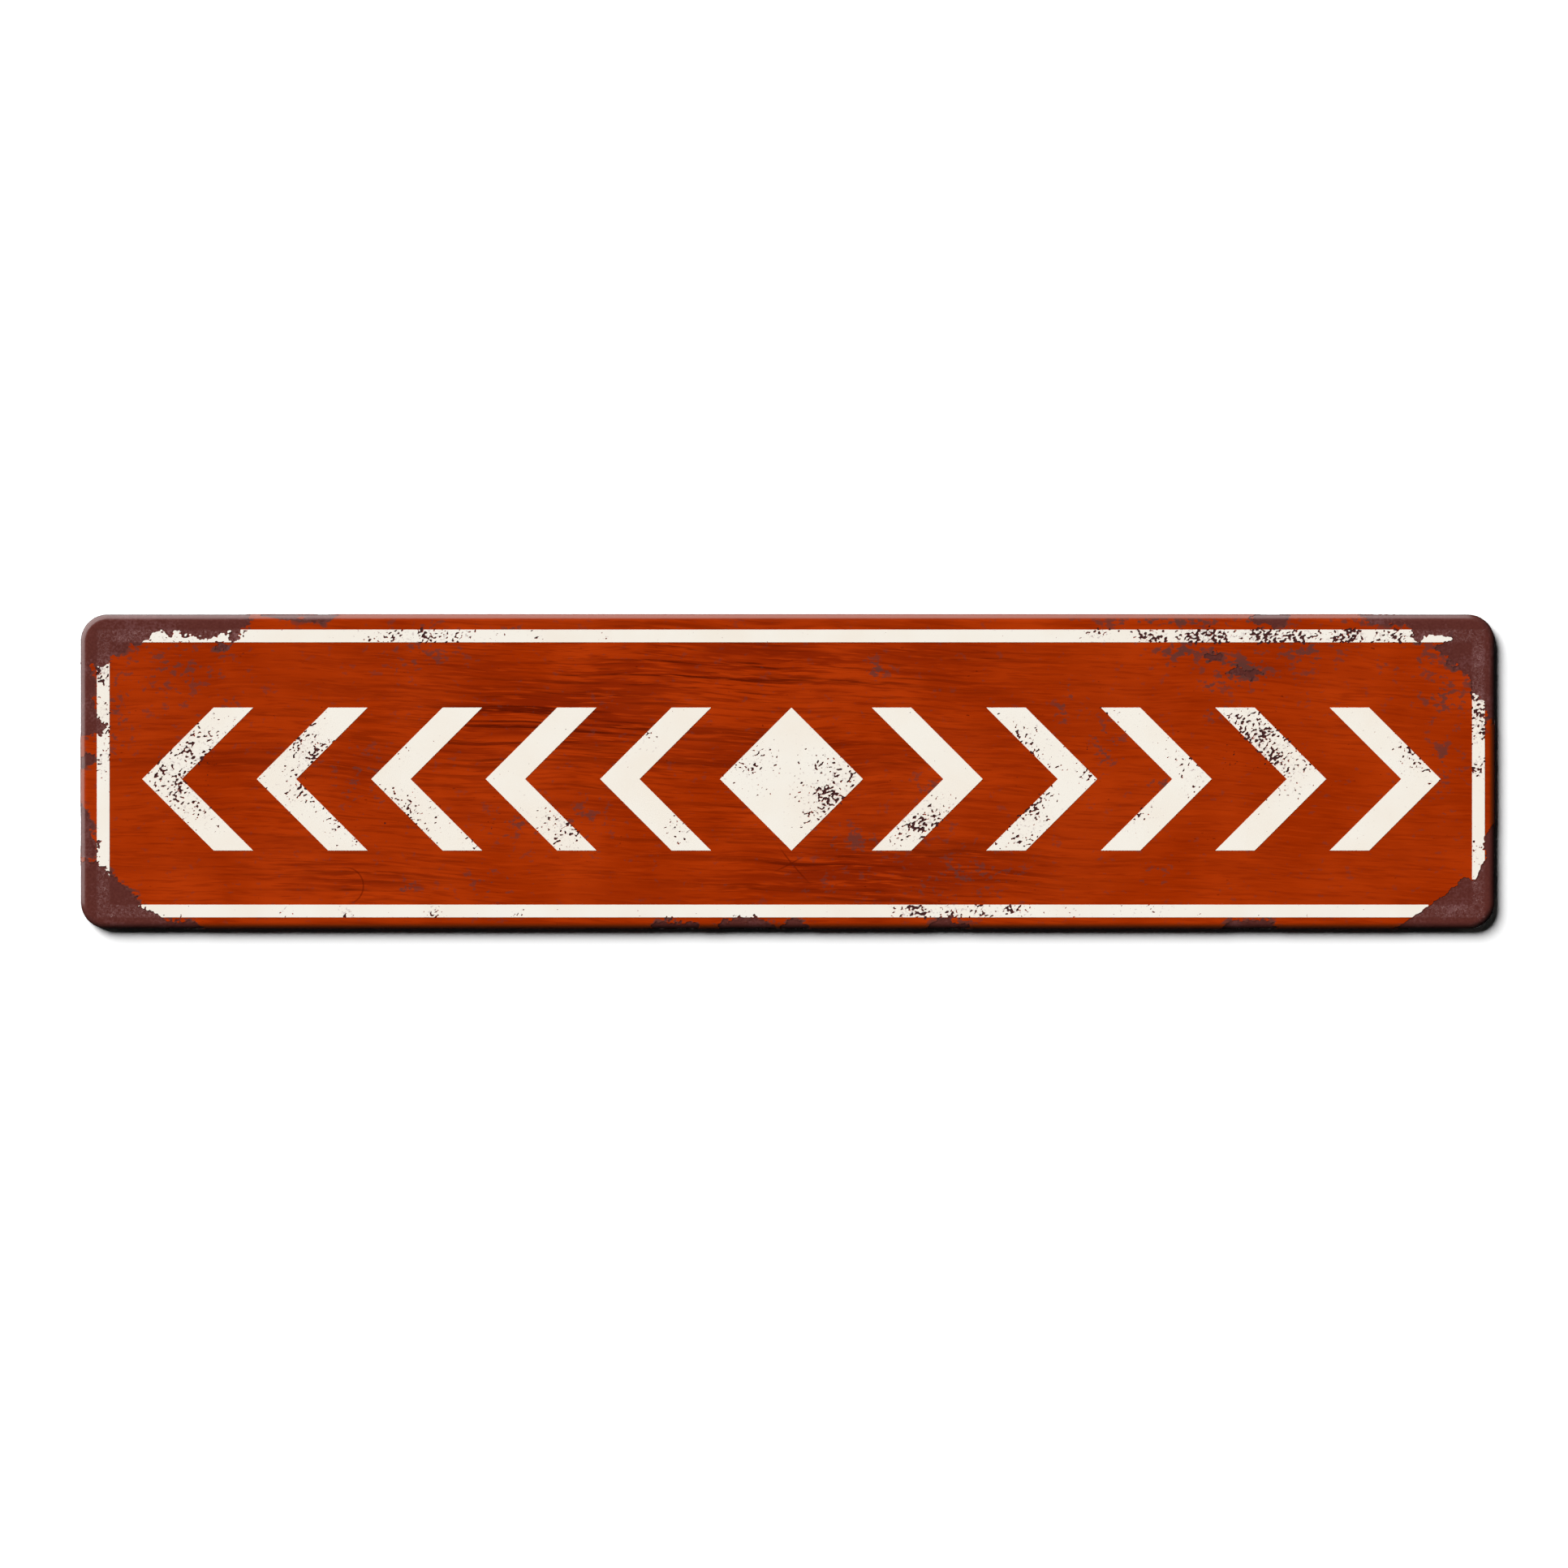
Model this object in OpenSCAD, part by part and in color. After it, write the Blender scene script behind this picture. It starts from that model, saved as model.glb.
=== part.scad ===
// Long low sign pressed from one thin steel sheet. Its edge is turned down all
// round, and on the four straight sides the sheet is folded on into a flat
// return hem that lies against the wall. The face carries baked paint, a printed
// border line and a printed row of chevrons, all worn off at the corners.
//
// The sign lies on its back: +X runs along the sign, +Y to its top edge and +Z
// out of its face. The origin is the middle of the plane that the hems rest on.

/* [Sheet] */
// Length of the sheet over its turned edge
sign_l = 457.2; // [300:1:900]
// Height of the sheet over its turned edge
sign_h = 101.6; // [80:1:240]
// Thickness of the steel
sheet_t = 0.4; // [0.3:0.05:0.8]
// Radius of the outline's four corners
corner_r = 8.6; // [6:0.2:20]

/* [Turned edge] */
// Depth from the face to the plane of the return hems
edge_depth = 5; // [4:0.5:12]
// Outside radius of the bend from the face to the edge
bend_r = 2.2; // [1.2:0.1:2.6]
// Outside radius of the bend from the edge to the return hem
hem_bend_r = 1.2; // [0.9:0.1:1.4]
// Width of the return hem, measured from the outside of the edge
hem_w = 6; // [3:0.5:15]
// Straight edge left without a hem beside each corner
hem_relief = 3; // [0:0.5:20]

/* [Paint] */
// Thickness of the baked paint on the face and the edge
coat_t = 0.12; // [0.1:0.01:0.3]
// Thickness of the printed line and figures on the paint
print_t = 0.1; // [0.05:0.01:0.2]

/* [Border line] */
// Width of the border line
line_w = 4.1; // [2:0.1:8]
// Distance from the sheet's outline to the border line
line_inset = 4.3; // [3.5:0.1:10]
// Shift of the border line along the sign, from printing off register
line_shift_x = 1; // [-1:0.1:1]
// Shift of the border line up the sign
line_shift_y = -0.6; // [-1:0.1:1]

/* [Chevron row] */
// Height of the row
row_h = 46.2; // [30:0.2:60]
// Thickness of a chevron's arms
arm_t = 9; // [5:0.5:12]
// Distance from one chevron's point to the next
pitch = 37; // [25:0.5:60]
// Clear face from the middle diamond's tip to the first chevron's notch
diamond_gap = 26; // [10:0.5:50]
// Least clear face between the border line and the last chevron's point
row_margin = 8; // [3:0.5:30]
// Shift of the row along the sign, from printing off register
row_shift_x = 1.2; // [-3:0.1:3]
// Shift of the row up the sign
row_shift_y = -2.4; // [-5:0.1:5]

/* [Worn corners] */
// Top left: bare steel along the top edge
wear_tl_along = 56; // [5:1:100]
// Top left: bare steel down the side
wear_tl_down = 30; // [5:1:35]
// Top left: fullness of the paint's worn line, where 1 is straight
wear_tl_bow = 0.6; // [0.5:0.05:2]
// Top right: bare steel along the top edge
wear_tr_along = 32; // [5:1:100]
// Top right: bare steel down the side
wear_tr_down = 35; // [5:1:35]
// Top right: fullness of the paint's worn line
wear_tr_bow = 0.85; // [0.5:0.05:2]
// Bottom left: bare steel along the bottom edge
wear_bl_along = 34; // [5:1:100]
// Bottom left: bare steel up the side
wear_bl_down = 24; // [5:1:35]
// Bottom left: fullness of the paint's worn line
wear_bl_bow = 0.95; // [0.5:0.05:2]
// Bottom right: bare steel along the bottom edge
wear_br_along = 36; // [5:1:100]
// Bottom right: bare steel up the side
wear_br_down = 30; // [5:1:35]
// Bottom right: fullness of the paint's worn line
wear_br_bow = 0.85; // [0.5:0.05:2]
// How far the worn lines wander to either side
raggedness = 0.8; // [0.1:0.1:1.5]
// How much further the print is worn back than the paint below it
print_set_back = 1; // [0:0.1:3]

/* [Hidden] */
$fn = 96;

half_l = sign_l / 2;
half_h = sign_h / 2;
coat_top = edge_depth + coat_t;

// The rows are: side along X, side along Y, along, down, bow, seed of the ragged line
WORN_CORNERS = [
    [-1,  1, wear_tl_along, wear_tl_down, wear_tl_bow, 3],
    [ 1,  1, wear_tr_along, wear_tr_down, wear_tr_bow, 11],
    [-1, -1, wear_bl_along, wear_bl_down, wear_bl_bow, 23],
    [ 1, -1, wear_br_along, wear_br_down, wear_br_bow, 37],
];
// Points on each worn line, and how far its cut reaches past the outline
WORN_STEPS = 26;
WORN_REACH = 3;

// The printed row is worked out from the middle to the ends
row_half = row_h / 2;
arm_x = arm_t * sqrt(2);
first_point = row_half + diamond_gap + arm_x;
row_end = half_l - line_inset - line_w - abs(line_shift_x - row_shift_x) - row_margin;
chevrons_a_side = floor((row_end - first_point) / pitch) + 1;

// A fixed number from -0.5 to 0.5 for step i of the ragged line called seed
function wander(seed, i) =
    let (s = sin(i * 127.1 + seed * 311.7) * 437.585)
    s - floor(s) - 0.5;

// The worn line across a corner, from the long edge to the short one. It is the
// curve (x / along)^bow + (y / down)^bow = 1, with x and y measured into the sign
// from the outline's square corner, and it wanders to and from that corner.
function worn_line(along, down, bow, seed) =
    [for (i = [0 : WORN_STEPS])
        let (a = 90 * i / WORN_STEPS,
             p = [along * pow(cos(a), 2 / bow), down * pow(sin(a), 2 / bow)])
        p * (1 + 2 * raggedness * wander(seed, i) / norm(p))];

// Outline of the sheet, drawn in from its edge by inset
module outline(inset) {
    r = corner_r - inset;
    square([sign_l - 2 * inset, sign_h - 2 * corner_r], center = true);
    square([sign_l - 2 * corner_r, sign_h - 2 * inset], center = true);
    for (x = [-1, 1], y = [-1, 1])
        translate([x * (half_l - corner_r), y * (half_h - corner_r)])
            circle(r);
}

// Section of a band that lies over the edge, with x into the sign from the
// sheet's outside and y up from the wall. Its outer surface stands proud of the
// sheet's by out, it is t thick and it ends at height low.
module edge_band(out, t, low) {
    bend_y = edge_depth - bend_r;
    translate([-out, low])
        square([t, bend_y - low]);
    intersection() {
        translate([bend_r, bend_y])
            difference() {
                circle(bend_r + out);
                circle(bend_r + out - t);
            }
        translate([-out, bend_y])
            square(bend_r + out);
    }
}

// Section of the return hem: a quarter bend and a flat strip along the wall
module hem_section() {
    intersection() {
        translate([hem_bend_r, hem_bend_r])
            difference() {
                circle(hem_bend_r);
                circle(hem_bend_r - sheet_t);
            }
        square(hem_bend_r);
    }
    translate([hem_bend_r, 0])
        square([hem_w - hem_bend_r, sheet_t]);
}

// Carries a section along the middle run long of the side that faces angle,
// where reach is the distance from the sign's middle to that side
module along_side(angle, reach, run) {
    rotate([0, 0, angle])
        translate([reach, run / 2, 0])
            rotate([90, 0, 0])
                linear_extrude(run)
                    mirror([1, 0])
                        children();
}

// Carries a section along all four straight sides, each end held back by back
module along_sides(back) {
    for (side = [0, 180]) {
        along_side(side, half_l, sign_h - 2 * (corner_r + back))
            children();
        along_side(side + 90, half_h, sign_l - 2 * (corner_r + back))
            children();
    }
}

// Turns a section round the four corners of the outline
module round_corners() {
    for (k = [0 : 3]) {
        x = (k == 0 || k == 3) ? 1 : -1;
        y = k < 2 ? 1 : -1;
        translate([x * (half_l - corner_r), y * (half_h - corner_r), 0])
            rotate([0, 0, 90 * k])
                rotate_extrude(angle = 90)
                    translate([corner_r, 0])
                        mirror([1, 0])
                            children();
    }
}

// A skin over face and edge: flat field, bends along the sides and round corners
module skin(out, t, low) {
    translate([0, 0, edge_depth + out - t])
        linear_extrude(t)
            outline(bend_r);
    along_sides(0)
        edge_band(out, t, low);
    round_corners()
        edge_band(out, t, low);
}

// Everything that is worn away, with the worn lines moved in by set_back
module worn_field(set_back) {
    for (c = WORN_CORNERS)
        translate([c[0] * half_l, c[1] * half_h])
            mirror([c[0] > 0 ? 1 : 0, 0])
                mirror([0, c[1] > 0 ? 1 : 0])
                    polygon(concat(
                        [[-WORN_REACH, -WORN_REACH], [c[2] + set_back, -WORN_REACH]],
                        worn_line(c[2] + set_back, c[3] + set_back, c[4], c[5]),
                        [[-WORN_REACH, c[3] + set_back]]));
}

module line_frame() {
    outer = [sign_l - 2 * line_inset, sign_h - 2 * line_inset];
    translate([line_shift_x, line_shift_y])
        difference() {
            square(outer, center = true);
            square(outer - 2 * [line_w, line_w], center = true);
        }
}

// One chevron that points along +X, with its point on the origin
module chevron() {
    polygon([
        [0, 0], [-row_half, row_half], [-row_half - arm_x, row_half],
        [-arm_x, 0], [-row_half - arm_x, -row_half], [-row_half, -row_half],
    ]);
}

// The pressed sheet: face and turned edge, and a return hem on each straight side
module steel_sheet() {
    color([0.38, 0.21, 0.19]) {
        skin(0, sheet_t, hem_bend_r);
        along_sides(hem_relief)
            hem_section();
    }
}

// The baked paint over face and edge, gone from the corners
module red_coat() {
    color([0.635, 0.18, 0.012])
        difference() {
            skin(coat_t, coat_t, hem_bend_r);
            linear_extrude(coat_top + 1)
                worn_field(0);
        }
}

// The printed line round the face, in four strips that stop at the worn corners
module border_line() {
    color([0.957, 0.933, 0.894])
        translate([0, 0, coat_top])
            linear_extrude(print_t)
                difference() {
                    intersection() {
                        line_frame();
                        outline(bend_r);
                    }
                    worn_field(print_set_back);
                }
}

// The printed row: a diamond in the middle and chevrons that point to both ends
module chevron_row() {
    color([0.957, 0.933, 0.894])
        translate([row_shift_x, row_shift_y, coat_top])
            linear_extrude(print_t) {
                rotate(45)
                    square(row_h / sqrt(2), center = true);
                for (side = [0, 1], i = [0 : chevrons_a_side - 1])
                    mirror([side, 0])
                        translate([first_point + i * pitch, 0])
                            chevron();
            }
}

steel_sheet();
red_coat();
border_line();
chevron_row();
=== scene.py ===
"""Looks of a long low pressed-steel sign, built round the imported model.

The sheet, its baked paint and its printed line and chevrons are cut from one
flat blank, by worn lines that are worked out once, and pressed to shape by one
rule. Lengths are in millimetres until a mesh is made, and metres after that.
"""

import logging
import math
from dataclasses import dataclass, field
from enum import Enum
from typing import Any, Callable, Mapping, Sequence

import bpy
import numpy as np
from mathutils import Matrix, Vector
from mathutils.geometry import delaunay_2d_cdt


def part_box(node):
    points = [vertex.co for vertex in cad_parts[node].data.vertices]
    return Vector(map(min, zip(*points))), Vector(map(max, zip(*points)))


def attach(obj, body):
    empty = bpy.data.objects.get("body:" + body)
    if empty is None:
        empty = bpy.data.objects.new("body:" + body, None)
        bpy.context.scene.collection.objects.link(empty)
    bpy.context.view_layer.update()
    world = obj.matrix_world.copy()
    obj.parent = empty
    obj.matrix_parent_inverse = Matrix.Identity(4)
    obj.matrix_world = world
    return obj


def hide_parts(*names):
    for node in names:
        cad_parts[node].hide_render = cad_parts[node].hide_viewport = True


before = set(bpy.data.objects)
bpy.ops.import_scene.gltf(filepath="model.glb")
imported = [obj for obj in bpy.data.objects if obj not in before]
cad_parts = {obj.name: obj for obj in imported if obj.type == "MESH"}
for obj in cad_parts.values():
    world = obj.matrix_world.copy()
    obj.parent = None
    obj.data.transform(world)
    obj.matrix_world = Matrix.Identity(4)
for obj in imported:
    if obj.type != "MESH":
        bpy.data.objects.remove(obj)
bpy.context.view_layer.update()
LOG = logging.getLogger("sign")

METRE = 0.001
Array = np.ndarray
Lines = tuple[Array, Array]
Rule = Callable[[Array, Array], Array]
Tree = bpy.types.NodeTree
Node = bpy.types.Node


def linear(code: str) -> tuple[float, float, float, float]:
    """Turns an sRGB hex colour into linear light.

    Args:
        code: six hex digits, such as "A22E03".

    Returns:
        Linear red, green and blue from 0 to 1, and an alpha of 1.
    """
    parts = [int(code[i:i + 2], 16) / 255 for i in (0, 2, 4)]
    light = [c / 12.92 if c <= 0.04045 else ((c + 0.055) / 1.055) ** 2.4 for c in parts]
    return (*light, 1.0)


def add(tree: Tree, kind: str, inputs: Mapping[Any, Any] | None = None, **settings: Any) -> Node:
    """Adds a shader node with its settings, values and links.

    Args:
        tree: the node tree that takes the node.
        kind: the node's type name, after "ShaderNode".
        inputs: input socket, by name or number, to its value or to what feeds it, which is
            a socket or a node. A node feeds it from its first output that is in use.
        **settings: the node's own properties.

    Returns:
        The new node.
    """
    made = tree.nodes.new("ShaderNode" + kind)
    for name, value in settings.items():
        setattr(made, name, value)
    for key, value in (inputs or {}).items():
        if isinstance(value, Node):
            value = next(out for out in value.outputs if out.enabled)
        if isinstance(value, bpy.types.NodeSocket):
            tree.links.new(value, made.inputs[key])
        else:
            made.inputs[key].default_value = value
    return made


class Ripple:
    """Gradient noise over the plane, with waves of a set length and height, to either side of 0."""

    CELLS = 256

    def __init__(self, seed: int, swing: float, long: float, high: float) -> None:
        """Draws a unit gradient for each lattice point from the seed.

        Args:
            seed: the seed.
            swing: the noise's strength, of which it reaches about 0.7 to either side.
            long: a wave's length along the first axis.
            high: a wave's length along the second axis.
        """
        turn = np.random.default_rng(seed).uniform(0, 2 * np.pi, (self.CELLS, self.CELLS))
        self.gx, self.gy = np.cos(turn), np.sin(turn)
        self.swing, self.long, self.high = swing, long, high

    def __call__(self, x: Array, y: Array) -> Array:
        """Blends the four corners' gradient planes by 6t^5 - 15t^4 + 10t^3.

        Args:
            x: places along the first axis.
            y: places along the second axis.

        Returns:
            The noise at each place.
        """
        x, y = x / self.long, y / self.high
        i, j = np.floor(x).astype(int), np.floor(y).astype(int)
        s, t = x - i, y - j
        ease = [u * u * u * (u * (6 * u - 15) + 10) for u in (s, t)]
        corner = {}
        for a in (0, 1):
            for b in (0, 1):
                at = (i + a) % self.CELLS, (j + b) % self.CELLS
                corner[a, b] = self.gx[at] * (s - a) + self.gy[at] * (t - b)
        low = corner[0, 0] + ease[0] * (corner[1, 0] - corner[0, 0])
        high = corner[0, 1] + ease[0] * (corner[1, 1] - corner[0, 1])
        return self.swing * (low + ease[1] * (high - low))


@dataclass(frozen=True)
class Spot:
    """A place on the face with how far it reaches and how strong it is."""

    x: float
    y: float
    along: float
    up: float
    strength: float = 1.0


def warmth(spots: Sequence[Spot], x: Array, y: Array) -> Array:
    """How strongly the strongest spot is felt: its strength times exp(-r^2), with r in its reaches."""
    felt = [s.strength * np.exp(-((x - s.x) / s.along) ** 2 - ((y - s.y) / s.up) ** 2) for s in spots]
    return np.max(felt, axis=0)


@dataclass(frozen=True)
class BarePatch:
    """A patch with no paint: (|x| / along)^bow + (|y| / up)^bow < 1 round its middle."""

    x: float
    y: float
    along: float
    up: float
    bow: float = 2.0
    torn: float = 1.0

    def beyond(self, x: Array, y: Array) -> Array:
        """How far each place lies past the patch's line, measured out from its middle.

        Args:
            x: places along the sign.
            y: places up the sign.

        Returns:
            The distance r - r / rho, where rho is 1 on the line: negative inside it.
        """
        dx, dy = np.abs(x - self.x), np.abs(y - self.y)
        rho = ((dx / self.along) ** self.bow + (dy / self.up) ** self.bow) ** (1 / self.bow)
        r = np.hypot(dx, dy)
        return r - r / np.maximum(rho, 1e-6)


@dataclass(frozen=True)
class PressedForm:
    """The die: how a flat blank becomes a face with a turned-down edge.

    A place on the blank keeps its direction from the rectangle that joins the
    corners' centres. Inside the bend line it stays flat, then it rolls round the
    bend, and past that it goes straight down.
    """

    half_l: float
    half_h: float
    face_z: float
    sheet_t: float = 0.4
    corner_r: float = 8.6
    bend_r: float = 2.2
    hem_bend_r: float = 1.2
    bend_steps: int = 9
    corner_steps: int = 16
    side_step: float = 4.0

    @property
    def bend_run(self) -> float:
        """Length of blank that the bend takes up."""
        return self.bend_r * math.pi / 2

    @property
    def skirt(self) -> float:
        """Height of the straight edge between the bend and the hem's bend."""
        return self.face_z - self.bend_r - self.hem_bend_r

    @property
    def reach(self) -> float:
        """How far the blank runs past the bend line."""
        return self.bend_run + self.skirt

    @property
    def blank_half(self) -> Array:
        """Half the blank's length and height, without the hems."""
        return np.array([self.half_l, self.half_h]) - self.bend_r + self.reach

    def past_bend(self, p: Array) -> tuple[Array, Array, Array]:
        """Splits places on the blank into a core point, a direction and a distance.

        Args:
            p: places on the blank, as rows of x and y.

        Returns:
            The nearest points of the rectangle of corner centres, the unit directions
            away from it, and the distances past the bend line, negative on the face.
        """
        limit = np.array([self.half_l, self.half_h]) - self.corner_r
        core = np.clip(p, -limit, limit)
        away = p - core
        far = np.linalg.norm(away, axis=1)
        return core, away / np.maximum(far, 1e-9)[:, None], far - (self.corner_r - self.bend_r)

    def press(self, p: Array, out: float) -> Array:
        """Places on the blank, pressed to shape.

        Args:
            p: places on the blank, as rows of x and y.
            out: height of the layer over the sheet's outer surface.

        Returns:
            Rows of x, y and z in the sign's frame.
        """
        core, away, past = self.past_bend(p)
        turn = np.clip(past / self.bend_run, 0, 1) * math.pi / 2
        down = np.maximum(past - self.bend_run, 0)
        radius = self.bend_r + out
        level = self.corner_r - self.bend_r + radius * np.sin(turn)
        z = self.face_z - self.bend_r + radius * np.cos(turn) - down
        xy = np.where((past > 0)[:, None], core + away * level[:, None], p)
        return np.column_stack([xy, z])

    def ring(self, past: float) -> Lines:
        """The closed line on the blank that runs a distance past the bend line.

        Args:
            past: distance from the bend line.

        Returns:
            Points and the segments between them.
        """
        radius = self.corner_r - self.bend_r + past
        limit = np.array([self.half_l, self.half_h]) - self.corner_r
        turns = np.linspace(0, math.pi / 2, self.corner_steps + 1)
        arcs = []
        for k, (sx, sy) in enumerate([(1, 1), (-1, 1), (-1, -1), (1, -1)]):
            a = turns + k * math.pi / 2
            arcs.append(np.array([sx, sy]) * limit + radius * np.column_stack([np.cos(a), np.sin(a)]))
        return closed(divided(np.vstack(arcs), self.side_step))

    def rings(self) -> list[Lines]:
        """The lines that the blank is folded along: the bend in steps, and its end."""
        pasts = [*np.linspace(0, self.bend_run, self.bend_steps + 1), self.reach]
        return [self.ring(p) for p in pasts]


def divided(points: Array, step: float) -> Array:
    """Puts points along the long sides of a closed outline.

    Args:
        points: the outline's corners in turn.
        step: the greatest distance that is left between neighbours.

    Returns:
        The corners with equal steps between them.
    """
    after = np.roll(points, -1, axis=0)
    counts = np.ceil(np.linalg.norm(after - points, axis=1) / step).astype(int).clip(1)
    share = np.concatenate([np.arange(n) / n for n in counts])[:, None]
    return np.repeat(points, counts, axis=0) * (1 - share) + np.repeat(after, counts, axis=0) * share


def closed(points: Array) -> Lines:
    """Joins points in turn and back to the first."""
    n = np.arange(len(points))
    return points, np.column_stack([n, np.roll(n, -1)])


def lattice(half: Array, pitch: float, keep: Rule | None = None) -> Lines:
    """Loose points on a square lattice, so that a mesh has vertices to hold shading.

    Args:
        half: half the lattice's length and height.
        pitch: distance between neighbours.
        keep: says which points stay.

    Returns:
        Points and no segments.
    """
    sides = [np.arange(-h + pitch / 2, h, pitch) for h in half]
    x, y = (a.ravel() for a in np.meshgrid(*sides))
    chosen = np.ones(len(x), bool) if keep is None else keep(x, y)
    return np.column_stack([x, y])[chosen], np.zeros((0, 2), int)


@dataclass
class Wear:
    """Where the paint and the prints have gone, as distances on the blank.

    The worn lines are made ragged in three sizes. A chip is where two layers of grain,
    a little longer than high and leaning, rise over a bar, which comes down by bar_drop
    where a chipped spot is fully felt, and by less beside a worn line. Clumps of noise
    round clump_level, kept within clump_span, break the spots up.
    """

    form: PressedForm
    ragged: tuple[Ripple, ...] = (Ripple(11, 2.2, 6.5, 5.5), Ripple(12, 2.1, 2.4, 2.0),
                                  Ripple(13, 1.7, 1.0, 0.85))
    grain: tuple[Ripple, ...] = (Ripple(14, 0.8, 1.3, 0.95), Ripple(13, 0.45, 0.7, 0.55))
    clumps: Ripple = Ripple(15, 1.1, 5.0, 5.0)
    clump_level: float = 0.95
    clump_span: tuple[float, float] = (0.2, 1.3)
    lean: float = 0.35
    bar: float = 0.66
    bar_drop: float = 0.57
    felt_least: float = 0.2
    felt_most: float = 1.2
    beside_share: float = 0.75
    beside_reach: float = 1.6
    flank: float = 0.9

    def patches(self) -> list[BarePatch]:
        """The bare patches: in the corners, where they break the line too, on the face and on the edges."""
        right, top = self.form.half_l, self.form.half_h
        left, low = -right, -top
        top_left = [
            BarePatch(left, top, 36, 16.5, 1.15),
            BarePatch(left, top - 27, 4.4, 11.5, 3.0, 0.6),
            BarePatch(left + 5, top - 12, 4.6, 4.5, 3.0, 0.5),
            BarePatch(left + 39, top, 16, 7.2),
            BarePatch(left + 29.5, top - 5, 1.6, 2.6),
            BarePatch(left + 39, top - 5, 4.5, 2.4),
            BarePatch(left + 49.5, top - 5, 2.2, 4.8),
            BarePatch(left + 46, top - 10.5, 2.2, 1.2),
        ]
        top_right = [
            BarePatch(right, top, 35, 34.5, 0.82, 1.1),
            BarePatch(right - 25, top - 3, 2.2, 6.2),
            BarePatch(right - 12, top - 13.5, 3.6, 3.6),
            BarePatch(right - 34, top, 10, 3.6),
        ]
        low_left = [
            BarePatch(left, low, 21, 22, 1.6, 0.8),
            BarePatch(left + 14, low, 17, 8.6, 1.3, 0.8),
            BarePatch(left + 30, low, 11, 3.3, 1.2, 1.0),
        ]
        low_right = [
            BarePatch(right, low, 33, 26, 0.9, 0.35),
            BarePatch(right, low + 27, 3.4, 6.5, 2.0, 0.5),
            BarePatch(right - 6.8, low + 19.6, 1.1, 0.55, 2.0, 0.25),
            BarePatch(right - 5.4, low + 20.8, 1.1, 0.55, 2.0, 0.25),
        ]
        on_face = [BarePatch(147.5, 32.0, 5.5, 1.0, 2.0, 1.7), BarePatch(137, 37.0, 1.8, 1.0, 2.0, 1.4)]
        on_edges = [
            BarePatch(-157, top, 13, 1.6),
            BarePatch(-150, top, 3.8, 2.6),
            BarePatch(155.7, top, 6.5, 4.0),
            BarePatch(left + 1.5, 14.3, 6.3, 3.2),
            BarePatch(left + 1, 3.6, 2.6, 1.7),
            BarePatch(left, -19.5, 3.4, 8.5, 2.0, 0.8),
            BarePatch(left + 1.8, -24, 3.6, 3.0),
            BarePatch(right, 21.7, 3.8, 6),
            BarePatch(-36, low, 8.5, 2.4),
            BarePatch(-12.7, low, 9, 3.6),
            BarePatch(1.7, low, 4.6, 3.0),
            BarePatch(52.3, low, 7, 3.0),
            BarePatch(149.4, low, 10, 2.8),
        ]
        return top_left + top_right + low_left + low_right + on_face + on_edges

    def spared(self) -> list[Spot]:
        """Where the line has held on inside a worn corner: millimetres by which it is raised."""
        left, right, top = -self.form.half_l, self.form.half_l, self.form.half_h
        return [
            Spot(right - 6.6, 17.5 - top, 1.9, 3.6, 3.4), Spot(right - 16.5, top - 7.8, 4.8, 1.9, 7.6),
            Spot(left + 25, top - 6, 2.4, 2.6, 2.8), Spot(left + 32, top - 5.5, 1.8, 1.8, 1.6),
            Spot(left + 45.5, top - 6, 1.8, 1.6, 1.4),
        ]

    def calm(self) -> list[Spot]:
        """Where the worn line is clean, with no flakes or rubbed paint beside it."""
        return [Spot(self.form.half_l - 10, 14 - self.form.half_h, 26, 20)]

    def chipped(self) -> list[Spot]:
        """Where the prints have flaked."""
        along_row = [
            Spot(-189, 0, 25.3, 19.5, 1.03), Spot(-155, 3, 10.3, 20.7, 0.98),
            Spot(-131, -16, 20.7, 12.6, 1.03), Spot(-128, 10, 9.2, 11.5, 0.69),
            Spot(-95, -18, 13.8, 10.3, 0.98), Spot(-73, -18, 11.5, 10.3, 0.92),
            Spot(-48, 14, 10.3, 9.2, 0.69), Spot(-11, 2, 11.5, 10.3, 0.75), Spot(-34, -19, 8, 9.2, 0.69),
            Spot(15, -8, 14.9, 19.5, 0.98), Spot(47, -17, 20.7, 10.3, 0.98), Spot(60, 12, 9.2, 10.3, 0.63),
            Spot(75, -5, 13.8, 25.3, 1.03), Spot(100, 8, 11.5, 16.1, 0.98),
            Spot(112, -12, 10.3, 10.3, 0.69), Spot(149, 6, 25.3, 17.2, 1.15),
            Spot(180, -12, 10.3, 10.3, 0.63), Spot(205, 8, 11.5, 13.8, 0.86),
        ]
        top_line = [
            Spot(-205, 44, 20, 5, 0.8), Spot(-118, 44, 24, 6, 0.9), Spot(-104, 44, 4, 5, 0.95),
            Spot(-82, 44, 4, 4, 0.7), Spot(-59, 44, 5, 4, 0.5), Spot(101, 44, 6, 6, 1.0),
            Spot(117, 44, 8, 6, 1.15), Spot(135, 44, 11, 6, 1.35), Spot(154, 44, 11, 6, 1.35),
            Spot(167, 44, 8, 6, 1.1), Spot(181, 44, 9, 6, 1.2), Spot(195, 44, 9, 6, 0.95),
        ]
        left_line = [Spot(-221, 33, 6, 6, 1.3), Spot(-221, 17, 6, 8, 0.98), Spot(-221, 4, 6, 9, 0.85)]
        low_line = [
            Spot(-163, -45, 3, 3, 1.0), Spot(-142.5, -46, 3, 4, 1.1), Spot(-115, -46, 3, 4, 1.0),
            Spot(-87, -46, 2.5, 3, 0.9), Spot(41, -45, 8, 5, 1.2), Spot(56, -45, 20, 6, 0.85),
            Spot(72, -45, 8, 5, 0.95), Spot(91, -45, 5, 4, 0.6), Spot(117, -45, 16, 4, 0.55),
        ]
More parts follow.
